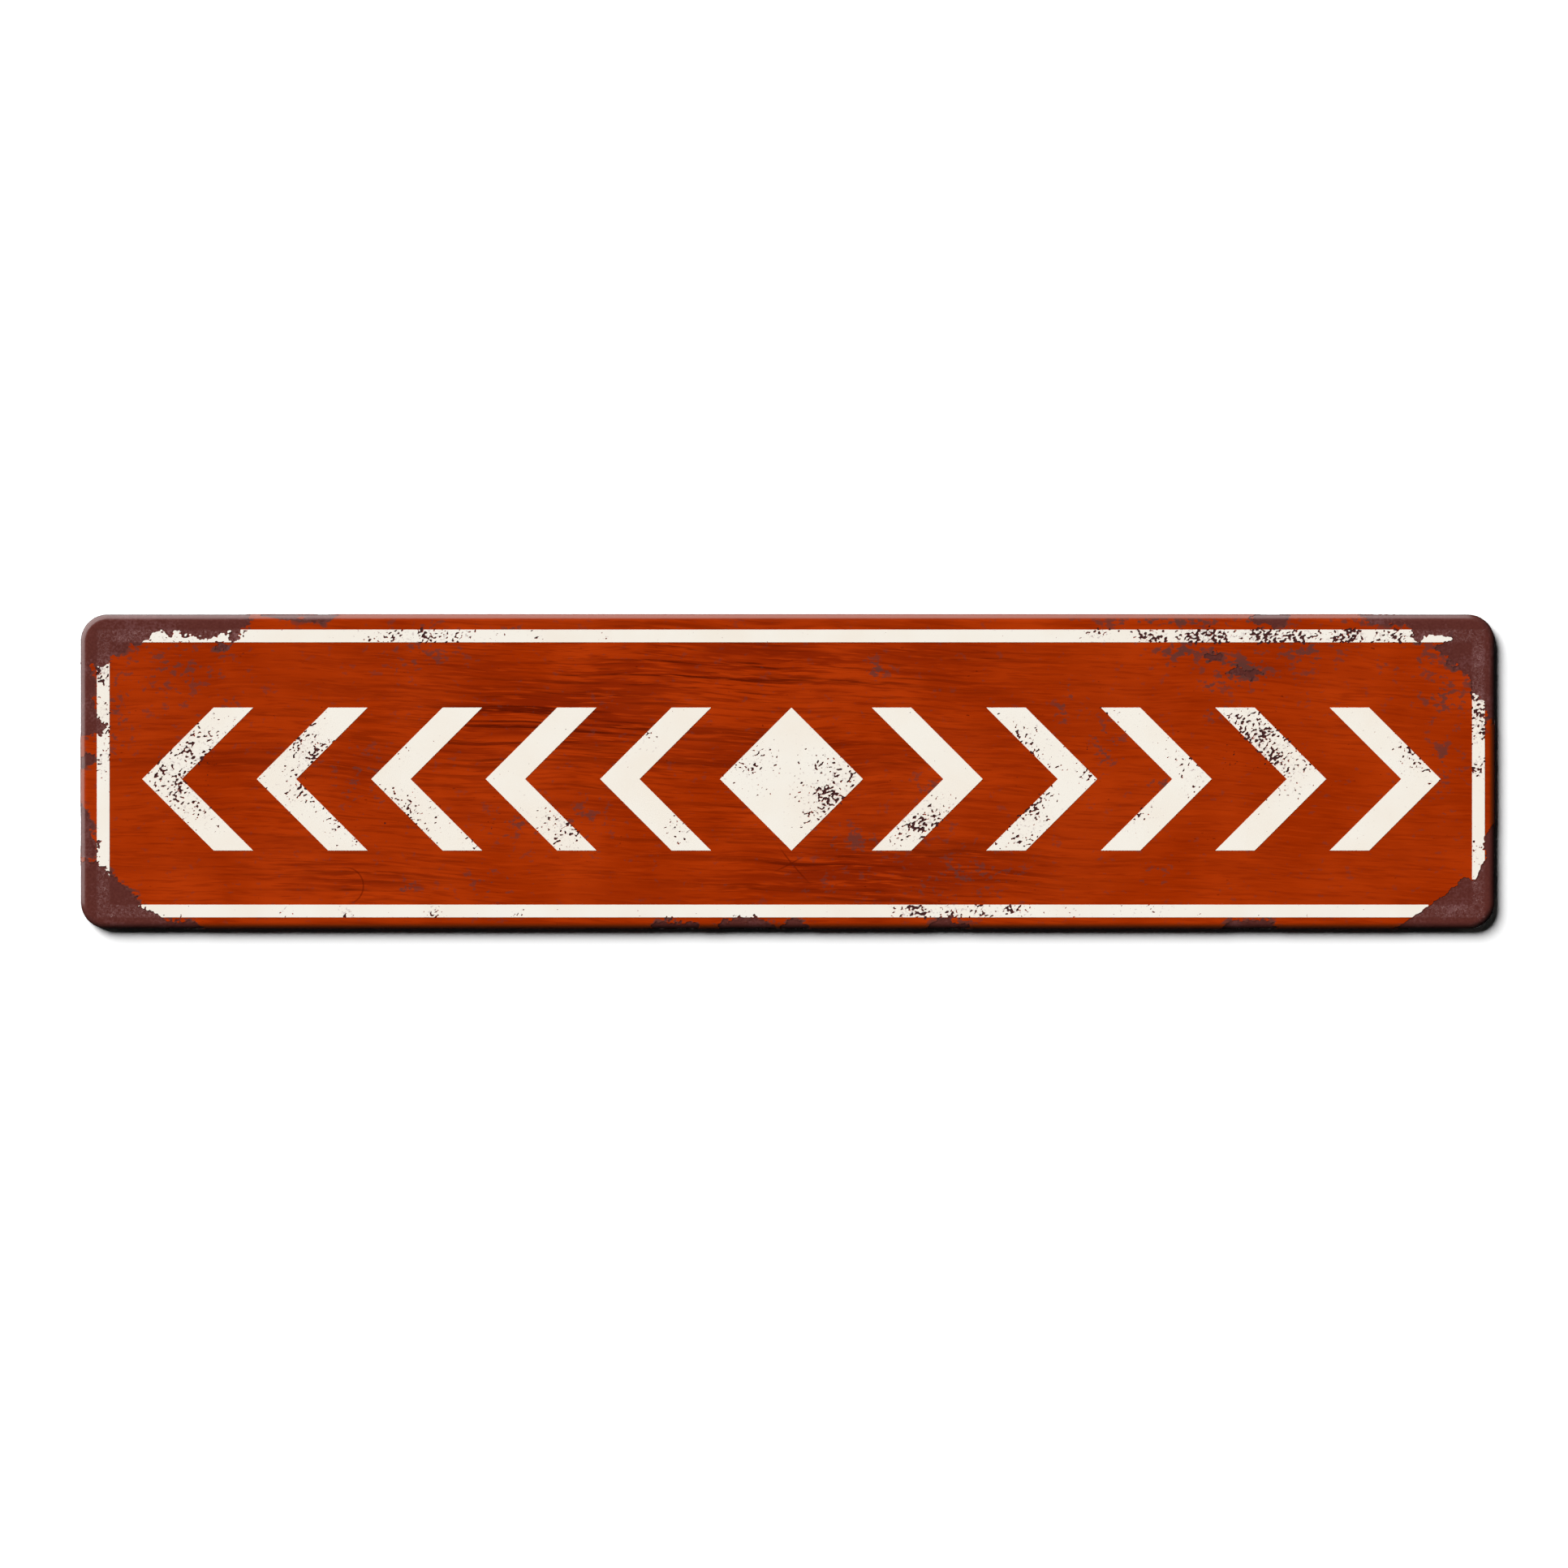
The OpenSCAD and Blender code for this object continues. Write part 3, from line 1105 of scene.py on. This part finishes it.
@dataclass(frozen=True)
class CreamInk(Finish):
    """Screen-printed cream ink: flat and warm white.

    It gives the eye faint clouds, and pale brown scuffs where it has been rubbed.
    """

    name: str = "screen_printed_cream_ink"
    rough: tuple[float, float] = (0.42, 0.55)
    relief: tuple[float, float] = (0.15, 0.03)
    main: str = "F8F2E7"
    warm: str = "F3E7D7"
    scuff: str = "CFC1BC"
    cloud_size: float = 18.0
    speck_size: float = 0.9

    def build(self) -> bpy.types.Material:
        """Makes the material.

        Returns:
            The ink, with its clouds and scuffs.
        """
        material, tree, mm = self.start()
        rubbed = add(tree, "Attribute", attribute_name=Mark.RUBBED.value).outputs["Fac"]
        cloud = add(tree, "TexNoise", {"Vector": mm, "Scale": 1 / self.cloud_size, "Detail": 4.0})
        clouded = add(tree, "MapRange", {0: cloud, 1: 0.4, 2: 0.75, 3: 0.0, 4: 0.6})
        base = add(tree, "Mix", {0: clouded, 6: linear(self.main), 7: linear(self.warm)}, data_type="RGBA")
        speck = add(tree, "TexNoise", {"Vector": mm, "Scale": 1 / self.speck_size, "Detail": 2.0,
                                       "Roughness": 0.6})
        lifted = add(tree, "Math", {0: rubbed, 1: 0.2, 2: speck}, operation="MULTIPLY_ADD")
        scuffed = add(tree, "MapRange", {0: lifted, 1: 0.72, 2: 0.84, 3: 0.0, 4: 0.8},
                      interpolation_type="SMOOTHSTEP")
        colour = add(tree, "Mix", {0: scuffed, 6: base, 7: linear(self.scuff)}, data_type="RGBA")
        self.close(tree, cloud, speck, {"Base Color": colour})
        return material


@dataclass(frozen=True)
class BrownedSteel(Finish):
    """Sheet steel browned by old rust and rubbed smooth: dull purple brown, finely mottled.

    Where the border line used to be it gives the eye a paler ghost of it and a few
    flecks of ink. Under the paint it is darker, and its bends have a polished sheen.
    """

    name: str = "browned_sheet_steel"
    rough: tuple[float, float] = (0.38, 0.46)
    main: str = "5E2F29"
    dark: str = "552823"
    pale: str = "6E4443"
    under: str = "442424"
    ghost: str = "8E6765"
    fleck: str = "D9BDB4"
    spray: str = "7E2606"
    mottle_size: float = 0.8
    cloud_size: float = 9.0
    scrape_size: float = 0.7
    spray_low: float = 0.2
    spray_edge: float = 0.3

    def ghosted(self, tree: Tree, mm: Node, cloud: Node,
                line: PrintedLine) -> tuple[Node, Node]:
        """What is left of the border line: a scraped ghost and flecks of ink.

        The line's own band is the larger of |x| - half_l and |y| - half_h, from 0 down to
        minus its width. The ghost is strongest along the middle of it.

        Args:
            tree: the material's nodes.
            mm: places on the piece in millimetres.
            cloud: the noise that breaks the ghost up.
            line: the border line.

        Returns:
            How strong the ghost is and how strong the flecks are, from 0 to 1.
        """
        split = add(tree, "SeparateXYZ", {0: mm})
        past = []
        for axis, shift, half in ((0, line.shift_x, line.half_l), (1, line.shift_y, line.half_h)):
            moved = add(tree, "Math", {0: split.outputs[axis], 1: shift}, operation="SUBTRACT")
            size = add(tree, "Math", {0: moved}, operation="ABSOLUTE")
            past.append(add(tree, "Math", {0: size, 1: half - line.width / 2}, operation="SUBTRACT"))
        middle = add(tree, "Math", {0: past[0], 1: past[1]}, operation="MAXIMUM")
        off = add(tree, "Math", {0: middle}, operation="ABSOLUTE")
        band = add(tree, "MapRange", {0: off, 1: line.width * 0.35, 2: line.width * 0.62, 3: 1.0, 4: 0.0},
                   interpolation_type="SMOOTHSTEP")
        scrape = add(tree, "TexNoise", {"Vector": mm, "Scale": 1 / self.scrape_size, "Detail": 4.0,
                                        "Roughness": 0.7, "Distortion": 1.2})
        left = add(tree, "MapRange", {0: scrape, 1: 0.46, 2: 0.66, 3: 0.0, 4: 0.8})
        faded = add(tree, "MapRange", {0: cloud, 1: 0.42, 2: 0.6, 3: 0.6, 4: 1.0})
        broken = add(tree, "Math", {0: left, 1: faded}, operation="MULTIPLY")
        dot = add(tree, "MapRange", {0: scrape, 1: 0.67, 2: 0.72}, interpolation_type="SMOOTHSTEP")
        ghost, dots = (add(tree, "Math", {0: band, 1: share}, operation="MULTIPLY")
                       for share in (broken, dot))
        return ghost, dots

    def sprayed(self, tree: Tree, mm: Node, cloud: Node,
                under: bpy.types.NodeSocket, hem_z: float) -> Node:
        """Paint that blew round the lower bend, broken up and gone from the worn corners.

        Args:
            tree: the material's nodes.
            mm: places on the piece in millimetres.
            cloud: the noise that breaks the paint up.
            under: how far each place lies under the paint.
            hem_z: height up to which the paint has blown.

        Returns:
            How much of the paint is there, from 0 to 1.
        """
        split = add(tree, "SeparateXYZ", {0: mm})
        blown = add(tree, "MapRange", {0: split.outputs[2], 1: self.spray_low, 2: hem_z, 3: 0.0, 4: 1.0})
        torn = add(tree, "Math", {0: blown, 1: cloud, 2: -0.25}, operation="MULTIPLY_ADD")
        gone = add(tree, "MapRange", {0: torn, 1: 0.0, 2: 0.2})
        above = add(tree, "MapRange", {0: split.outputs[2], 1: hem_z, 2: hem_z + self.spray_edge,
                                       3: 1.0, 4: 0.0})
        kept = add(tree, "Math", {0: gone, 1: above}, operation="MULTIPLY")
        return add(tree, "Math", {0: kept, 1: under}, operation="MULTIPLY")

    def build(self, line: PrintedLine, hem_z: float) -> bpy.types.Material:
        """Makes the material.

        Args:
            line: the border line whose ghost shows.
            hem_z: height up to which paint has blown round the lower bend.

        Returns:
            The browned steel.
        """
        material, tree, mm = self.start()
        under = add(tree, "Attribute", attribute_name=Mark.UNDER.value).outputs["Fac"]
        mottle = add(tree, "TexNoise", {"Vector": mm, "Scale": 1 / self.mottle_size, "Detail": 4.0,
                                        "Roughness": 0.65})
        cloud = add(tree, "TexNoise", {"Vector": mm, "Scale": 1 / self.cloud_size, "Detail": 3.0})
        low = add(tree, "MapRange", {0: mottle, 1: 0.35, 2: 0.6})
        lit = add(tree, "Math", {0: mottle, 1: cloud}, operation="ADD")
        high = add(tree, "MapRange", {0: lit, 1: 1.05, 2: 1.3, 3: 0.0, 4: 0.8})
        ghost, dots = self.ghosted(tree, mm, cloud, line)
        spray = self.sprayed(tree, mm, cloud, under, hem_z)
        colour = linear(self.dark)
        for share, over in ((low, self.main), (high, self.pale), (ghost, self.ghost), (dots, self.fleck),
                            (under, self.under), (spray, self.spray)):
            colour = add(tree, "Mix", {0: share, 6: colour, 7: linear(over)}, data_type="RGBA")
        self.close(tree, mottle, mottle, {"Base Color": colour, "Specular IOR Level": 0.2,
                                          **self.polished(tree, mm, 0.28)})
        return material


@dataclass(frozen=True)
class LacqueredBack(Finish):
    """The sheet's tinned back under clear lacquer: dull grey metal with rolling lines and stains.

    The lines are drawn several times as thick as rolling leaves them, so that they show.
    """

    name: str = "lacquered_tinplate"
    rough: tuple[float, float] = (0.36, 0.6)
    relief: tuple[float, float] = (0.2, 0.02)
    main: str = "A3A09A"
    dull: str = "87837B"
    stain: str = "6B5244"
    line_long: float = 60.0
    line_thick: float = 0.7
    stain_size: float = 22.0

    def build(self) -> bpy.types.Material:
        """Makes the material.

        Returns:
            The tinplate, with its rolling lines and stains.
        """
        material, tree, mm = self.start()
        size = (1 / self.line_long, 1 / self.line_thick, 1 / self.line_thick)
        drawn = add(tree, "VectorMath", {0: mm, 1: size}, operation="MULTIPLY")
        rolled = add(tree, "TexNoise", {"Vector": drawn, "Scale": 1.0, "Detail": 4.0})
        cloud = add(tree, "TexNoise", {"Vector": mm, "Scale": 1 / self.stain_size, "Detail": 5.0,
                                       "Roughness": 0.65})
        lines = add(tree, "MapRange", {0: rolled, 1: 0.35, 2: 0.65})
        base = add(tree, "Mix", {0: lines, 6: linear(self.main), 7: linear(self.dull)}, data_type="RGBA")
        stained = add(tree, "MapRange", {0: cloud, 1: 0.58, 2: 0.75, 3: 0.0, 4: 0.7})
        colour = add(tree, "Mix", {0: stained, 6: base, 7: linear(self.stain)}, data_type="RGBA")
        self.close(tree, cloud, rolled, {"Base Color": colour, "Metallic": 0.8})
        return material


@dataclass
class PressedSheet:
    """The steel: face and turned edge from the blank, and a folded hem on each straight side.

    The blank's points are closer together beside the worn line, where its shade changes.
    On the bake map the hems are strips at the foot, with the back and the face above them.
    """

    form: PressedForm
    wear: Wear
    name: str = "pressed_sheet"
    node: str = "steel_sheet"
    slot: str = "rusted_steel"
    hem_w: float = 6.0
    hem_relief: float = 3.0
    hem_steps: int = 8
    pitch: float = 3.5
    fine_pitch: float = 1.2
    fine_reach: float = 3.0
    paint_edge: float = 0.2
    strip_low: float = 0.008
    strip_step: float = 0.012
    strip_high: float = 0.01
    map_back: float = 0.06
    map_face: float = 0.53

    def build(self, line: PrintedLine) -> bpy.types.Object:
        """Makes the sheet.

        Args:
            line: the border line whose ghost shows on the bare corners.

        Returns:
            The piece.
        """
        half = self.form.blank_half
        maps = (BakeSheet(half, (0, self.map_face), (1, 1)),
                BakeSheet(half, (0, self.map_back), (1, self.map_face)))
        parts = [*self.form.rings(), maps[0].seams(), lattice(half, self.pitch),
                 lattice(half, self.fine_pitch, self.near_worn_line)]
        p, faces = triangulate(parts)
        inside = self.form.past_bend(p[faces].mean(axis=1))[2] < self.form.reach
        skin = layer(self.form, p, faces[inside], 0.0, -self.form.sheet_t, maps, (0, 1))
        skin.mark({Mark.UNDER: self.under_paint})
        self.add_hems(skin)
        finishes = [BrownedSteel().build(line, self.form.hem_bend_r), LacqueredBack().build()]
        return skin.piece(self.name, finishes)

    def near_worn_line(self, x: Array, y: Array) -> Array:
        """Whether a place is near the worn line."""
        return np.abs(self.wear.past_worn_line(x, y)) < self.fine_reach

    def under_paint(self, x: Array, y: Array) -> Array:
        """How far a place lies under the paint: 0 on bare steel, 1 from about a millimetre within."""
        return np.clip(self.wear.past_worn_line(x, y) - self.paint_edge, 0, 1)

    def section(self) -> tuple[Array, Array]:
        """The hem's section, out from the side's outside face and up from the wall.

        Returns:
            The outer line, from the edge round the bend and along the wall, and the
            inner line a sheet's thickness within it.
        """
        turn = np.linspace(0, math.pi / 2, self.hem_steps + 1)
        r = self.form.hem_bend_r
        lines = []
        for radius, level in ((r, 0.0), (r - self.form.sheet_t, self.form.sheet_t)):
            bend = np.column_stack([r - radius * np.cos(turn), r - radius * np.sin(turn)])
            lines.append(np.vstack([bend, [self.hem_w, level]]))
        return lines[0], lines[1]

    def add_hems(self, skin: Skin) -> None:
        """Adds the four hems: the section as a closed strip carried along each side.

        Args:
            skin: the sheet so far.
        """
        outer, inner = self.section()
        loop = np.vstack([outer, inner[::-1]])
        m, n = len(outer), len(loop)
        half = np.array([self.form.half_l, self.form.half_h])
        stop = self.form.corner_r + self.hem_relief
        k = np.arange(n)
        after = np.roll(k, -1)
        back = (k > m - 1) & (k < n - 1)
        u = np.tile([self.strip_high, self.strip_high, 1 - self.strip_high, 1 - self.strip_high], n)
        for side in range(4):
            reach, run = (half[0], half[1]) if side % 2 == 0 else (half[1], half[0])
            cos, sin = round(math.cos(side * math.pi / 2)), round(math.sin(side * math.pi / 2))
            base = skin.count()
            for end in (-1, 1):
                out, along = reach - loop[:, 0], np.full(n, end * (run - stop))
                skin.verts.append(np.column_stack([out * cos - along * sin, out * sin + along * cos,
                                                   loop[:, 1]]))
            sides = np.column_stack([k, after, after + n, k + n]) + base
            strip = self.strip_low + self.strip_step * side
            v = strip + self.strip_high * np.column_stack([k, k + 1, k + 1, k]) / n
            uv = np.column_stack([u, v.ravel()])
            for chosen, slot in ((~back, 0), (back, 1)):
                skin.take(sides[chosen], uv[np.repeat(chosen, 4)], True, slot)
            for first in (0, n):
                a = np.arange(m - 1)
                cap = np.column_stack([a, n - 1 - a, n - 2 - a, a + 1]) + base + first
                cap = cap if first == 0 else cap[:, ::-1]
                skin.take(cap, np.full((4 * len(cap), 2), strip), False, 0)
            skin.marks[Mark.UNDER].append(np.ones(2 * n))


@dataclass
class PaintFilm:
    """One layer of paint or ink: what is left of it is cut from the blank and pressed on.

    Its points are mark_pitch apart, and closer beside the worn line, where its marks change.
    Its front has nearly all of the bake map, and its hidden back the strip above that.
    """

    name: str
    node: str
    slot: str
    form: PressedForm
    low: float
    top: float
    pitch: float
    outlines: list[Lines]
    covers: Rule
    worn: Rule
    marks: dict[Mark, Rule]
    mark_pitch: float = 5.0
    fine_pitch: float = 1.6
    fine_reach: float = 3.5
    map_front: float = 0.93
    map_back: float = 0.94

    def build(self, material: bpy.types.Material) -> bpy.types.Object:
        """Makes the film.

        Args:
            material: its finish.

        Returns:
            The piece.
        """
        half = self.form.blank_half
        maps = (BakeSheet(half, (0, 0), (1, self.map_front)),
                BakeSheet(half, (0, self.map_back), (1, 1), 4, 1))
        cut = Field.sampled(half, self.pitch, self.worn)

        def near_cut(x: Array, y: Array) -> Array:
            """Whether a place of the film is near the worn line, or beyond it."""
            return (cut.at(np.column_stack([x, y])) < self.fine_reach) & self.covers(x, y)

        points, segments = cut.line()
        keep = self.reaches(points, segments)
        parts = [*self.outlines, maps[0].seams(), (points, segments[keep]),
                 lattice(half, self.mark_pitch, self.covers), lattice(half, self.fine_pitch, near_cut)]
        p, faces = triangulate(parts)
        middle = p[faces].mean(axis=1)
        left = self.covers(*middle.T) & (cut.at(middle) > 0)
        skin = layer(self.form, p, faces[left], self.top, self.low, maps)
        skin.mark(self.marks)
        return skin.piece(self.name, [material])

    def reaches(self, points: Array, segments: Array) -> Array:
        """Which pieces of the worn line touch the film, or come within a millimetre of it."""
        ends = points[segments]
        near = np.zeros(len(segments), bool)
        for dx, dy in ((0, 0), (1, 0), (-1, 0), (0, 1), (0, -1)):
            near |= self.covers(*(ends[:, 0] + (dx, dy)).T)
        return near


@dataclass
class Studio:
    """A white floor, a soft main light from the upper left, a low card and the camera."""

    view_width: float = 506.8
    aim_x: float = -1.2
    aim_y: float = -4.0
    face_z: float = 5.2
    lens: float = 300.0
    sensor: float = 36.0
    main_turn: float = 132.5
    main_up: float = 38.2
    main_far: float = 1500.0
    main_spread: float = 42.0
    main_level: float = 1.0
    fill_level: float = 0.004
    card_turn: float = 131.5
    card_up: float = 4.0
    card_far: float = 2200.0
    card_size: tuple[float, float] = (5500.0, 4300.0)
    card_glow: float = 1.8
    floor_level: float = 1.27
    floor_shade: float = 0.3
    floor_half: float = 3000.0
    floor_gap: float = 0.05

    def build(self) -> None:
        """Makes the floor, the world, both lights and the camera."""
        self.floor()
        self.world()
        self.main_light()
        self.low_card()
        camera = bpy.data.cameras.new("camera")
        camera.lens, camera.sensor_width = self.lens, self.sensor
        camera.clip_start, camera.clip_end = 0.05, 20.0
        eye = bpy.data.objects.new("camera", camera)
        far = self.view_width * self.lens / self.sensor
        eye.location = Vector((self.aim_x, self.aim_y, self.face_z + far)) * METRE
        bpy.context.scene.collection.objects.link(eye)
        bpy.context.scene.camera = eye
        bpy.context.scene.view_settings.view_transform = "Standard"

    def toward(self, turn: float, up: float) -> Vector:
        """The direction from the sign at an angle round from +X and up from the floor."""
        t, u = math.radians(turn), math.radians(up)
        return Vector((math.cos(t) * math.cos(u), math.sin(t) * math.cos(u), math.sin(u)))

    def hang(self, light: bpy.types.Light, way: Vector, far: float) -> bpy.types.Object:
        """Puts a light out from the sign and turns it to face it.

        Args:
            light: the light.
            way: the direction out to it.
            far: its distance.

        Returns:
            The light's object.
        """
        lamp = bpy.data.objects.new(light.name, light)
        lamp.location = way * far * METRE
        lamp.rotation_euler = way.to_track_quat("Z", "Y").to_euler()
        bpy.context.scene.collection.objects.link(lamp)
        return lamp

    def main_light(self) -> None:
        """Adds the main light: even, as wide as its spread, and kept out of reflections.

        Its strength is level * pi / sin(up), at which a colour on the face renders as written.
        """
        light = bpy.data.lights.new("main_light", "SUN")
        light.angle = math.radians(self.main_spread)
        light.energy = self.main_level * math.pi / math.sin(math.radians(self.main_up))
        lamp = self.hang(light, self.toward(self.main_turn, self.main_up), self.main_far)
        lamp.visible_glossy = False

    def low_card(self) -> None:
        """Adds the low card, which only shows as a sheen on the bends that face it.

        Its power is pi * area * glow. The floor hides its lower half.
        """
        light = bpy.data.lights.new("low_card", "AREA")
        light.shape = "RECTANGLE"
        light.size, light.size_y = (c * METRE for c in self.card_size)
        light.energy = math.pi * light.size * light.size_y * self.card_glow
        lamp = self.hang(light, self.toward(self.card_turn, self.card_up), self.card_far)
        lamp.visible_diffuse = False

    def floor(self) -> None:
        """Adds the floor, just under the hems: white to the camera and darker to other light."""
        mesh = bpy.data.meshes.new("floor")
        half, down = self.floor_half * METRE, -self.floor_gap * METRE
        corners = [(-half, -half), (half, -half), (half, half), (-half, half)]
        mesh.from_pydata([(x, y, down) for x, y in corners], [], [(0, 1, 2, 3)])
        floor = bpy.data.objects.new("floor", mesh)
        floor.visible_glossy = False
        bpy.context.scene.collection.objects.link(floor)
        material = bpy.data.materials.new("white_paper")
        material.use_nodes = True
        tree = material.node_tree
        tree.nodes.clear()
        seen = add(tree, "LightPath").outputs["Is Camera Ray"]
        shade, white = ((level,) * 3 + (1,) for level in (self.floor_shade, self.floor_level))
        colour = add(tree, "Mix", {0: seen, 6: shade, 7: white}, data_type="RGBA")
        add(tree, "OutputMaterial", {"Surface": add(tree, "BsdfDiffuse", {"Color": colour})})
        mesh.materials.append(material)

    def world(self) -> None:
        """Sets a white backdrop for the camera and a faint even fill for the rest."""
        world = bpy.data.worlds.new("studio")
        bpy.context.scene.world = world
        world.use_nodes = True
        tree = world.node_tree
        tree.nodes.clear()
        seen = add(tree, "LightPath").outputs["Is Camera Ray"]
        fill, white = (add(tree, "Background", {"Color": (1, 1, 1, 1), "Strength": level})
                       for level in (self.fill_level, 1.0))
        both = add(tree, "MixShader", {0: seen, 1: fill, 2: white})
        add(tree, "OutputWorld", {"Surface": both})


@dataclass
class Sign:
    """The whole sign: the sheet, the paint on it and the two prints on the paint.

    The paint's chips heal over away from the prints, and a print is worn and chipped a
    little further than the paint below it.
    """

    form: PressedForm
    wear: Wear
    line: PrintedLine
    row: PrintedRow
    coat_t: float = 0.12
    print_t: float = 0.1
    coat_pitch: float = 0.36
    print_pitch: float = 0.26
    healed: float = 0.35
    heal_reach: float = 1.2
    print_worn: float = 0.25
    print_chipped: float = 0.02
    thin_level: float = 1.1
    thin_reach: float = 2.6

    def smudged(self) -> list[Spot]:
        """Where the red is rubbed dusky."""
        left_end = [
            Spot(-199, 34, 20, 10, 0.58), Spot(-118, 38, 13, 7, 0.6), Spot(-217, 18, 6, 18, 0.6),
            Spot(-190, 22, 20, 8, 0.42), Spot(-188.5, 14, 4, 3, 0.8), Spot(-201, 3, 7, 3, 0.6),
            Spot(-138, -2, 14, 10, 0.45), Spot(-123.5, -37.5, 4, 3, 0.75), Spot(-97, -37, 12, 7, 0.45),
            Spot(-87, -17, 10, 6, 0.6), Spot(-66, -16, 9, 8, 0.6),
        ]
        middle = [
            Spot(28.5, 33, 5, 4, 0.8), Spot(5, -12, 12, 8, 0.55), Spot(21, -22, 13, 6, 0.6),
            Spot(46, -10, 7, 10, 0.75), Spot(56, -34, 19, 10, 0.54), Spot(16, -37, 16, 6, 0.3),
            Spot(90, 21, 4, 7, 0.75), Spot(103, 8, 6, 8, 0.75),
        ]
        right_end = [
            Spot(122, -5, 6, 6, 0.75), Spot(119, -33, 6, 6, 0.42), Spot(127, 39, 12, 5, 0.95),
            Spot(146, 33, 12, 6, 1.1), Spot(137, 28, 4, 3.5, 0.85), Spot(139, 20, 5, 4, 0.7),
            Spot(167, 40, 12, 6, 0.85), Spot(167, 29, 6, 5, 0.5), Spot(207, 36, 8, 7, 0.66),
            Spot(196, 36, 8, 5, 0.45), Spot(212, 24, 10, 9, 0.75), Spot(212, 5.5, 5, 6, 0.75),
            Spot(211, 2, 10, 15, 0.45),
        ]
        top_edge = [Spot(-119, 47.5, 10, 2, 0.6), Spot(-89, 46.5, 3, 1.8, 0.7), Spot(122, 49, 34, 3, 1.0),
                    Spot(190, 49, 20, 3, 0.8)]
        return left_end + middle + right_end + top_edge

    def streaked(self) -> list[Spot]:
        """Where the brush strokes show dark."""
        return [
            Spot(-76, 16, 38, 13, 1.0), Spot(-22, 33, 78, 12, 0.95), Spot(29, -33, 50, 11, 0.8),
            Spot(-143, -36, 12, 4, 0.6), Spot(-97, 13, 18, 18, 0.7), Spot(-12, 2, 70, 26, 0.45),
            Spot(-150, 2, 60, 22, 0.3), Spot(-138, -34, 40, 9, 0.4),
        ]

    def thinned(self, x: Array, y: Array) -> Array:
        """How thin the paint is worn: 1 at a worn line, less away from it and 0 where that is calm."""
        near = np.clip(self.thin_level - self.wear.past_worn_line(x, y) / self.thin_reach, 0, 1)
        return near * (1 - warmth(self.wear.calm(), x, y))

    def gone_from_coat(self, x: Array, y: Array) -> Array:
        """Distance from bare steel in the paint: worn lines, and chips under the prints.

        Args:
            x: places along the sign.
            y: places up the sign.

        Returns:
            Distances, negative where the paint is gone.
        """
        clear = np.minimum(self.line.past(x, y), self.row.past(x, y))
        healed = self.healed * np.clip(clear / self.heal_reach, 0, 1)
        return np.minimum(self.wear.past_worn_line(x, y), self.wear.past_flake(x, y) + healed)

    def gone_from_print(self, x: Array, y: Array) -> Array:
        """Distance from a place where the print is gone."""
        return np.minimum(self.wear.past_worn_line(x, y) - self.print_worn,
                          self.wear.past_flake(x, y) - self.print_chipped)

    def on_blank(self, x: Array, y: Array) -> Array:
        """Whether a place is on the blank."""
        return self.form.past_bend(np.column_stack([x, y]))[2] < self.form.reach

    def films(self) -> list[tuple[PaintFilm, Finish]]:
        """The coat and the two prints, each with its finish.

        Returns:
            The films from the sheet up.
        """
        top, cream = self.coat_t + self.print_t, CreamInk()
        marks = {Mark.STREAK: lambda x, y: warmth(self.streaked(), x, y),
                 Mark.SMUDGE: lambda x, y: warmth(self.smudged(), x, y), Mark.THIN: self.thinned}
        rubbed = {Mark.RUBBED: lambda x, y: warmth(self.wear.chipped(), x, y)}
        coat = PaintFilm("baked_paint", "red_coat", "red_paint", self.form, 0.0, self.coat_t,
                         self.coat_pitch, self.form.rings(), self.on_blank, self.gone_from_coat, marks)
        made: list[tuple[PaintFilm, Finish]] = [
            (coat, BakedRedPaint(face_z=self.form.face_z + self.coat_t))]
        for name, node, shape in (("printed_line", "border_line", self.line),
                                  ("printed_chevrons", "chevron_row", self.row)):
            made.append((PaintFilm(name, node, "cream_print", self.form, self.coat_t, top,
                                   self.print_pitch, shape.outlines(), shape.covers,
                                   self.gone_from_print, rubbed), cream))
        return made

    def build(self) -> None:
        """Makes every piece, hides the imported part that it stands for, and sets it on the root body."""
        sheet = PressedSheet(self.form, self.wear)
        made = [(sheet.build(self.line), sheet)]
        finishes: dict[str, bpy.types.Material] = {}
        for film, finish in self.films():
            if finish.name not in finishes:
                finishes[finish.name] = finish.build()
            made.append((film.build(finishes[finish.name]), film))
        for piece, source in made:
            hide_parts(source.node)
            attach(piece, "root")


def main() -> None:
    """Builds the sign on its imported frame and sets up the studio."""
    logging.basicConfig(level=logging.INFO, format="%(name)s: %(message)s")
    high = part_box("steel_sheet")[1] / METRE
    form = PressedForm(round(high.x, 3), round(high.y, 3), round(high.z, 3))
    line_inset = 4.3
    line = PrintedLine(form.half_l - line_inset, form.half_h - line_inset)
    Sign(form, Wear(form), line, PrintedRow()).build()
    Studio().build()
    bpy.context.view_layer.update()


if __name__ == "__main__":
    main()
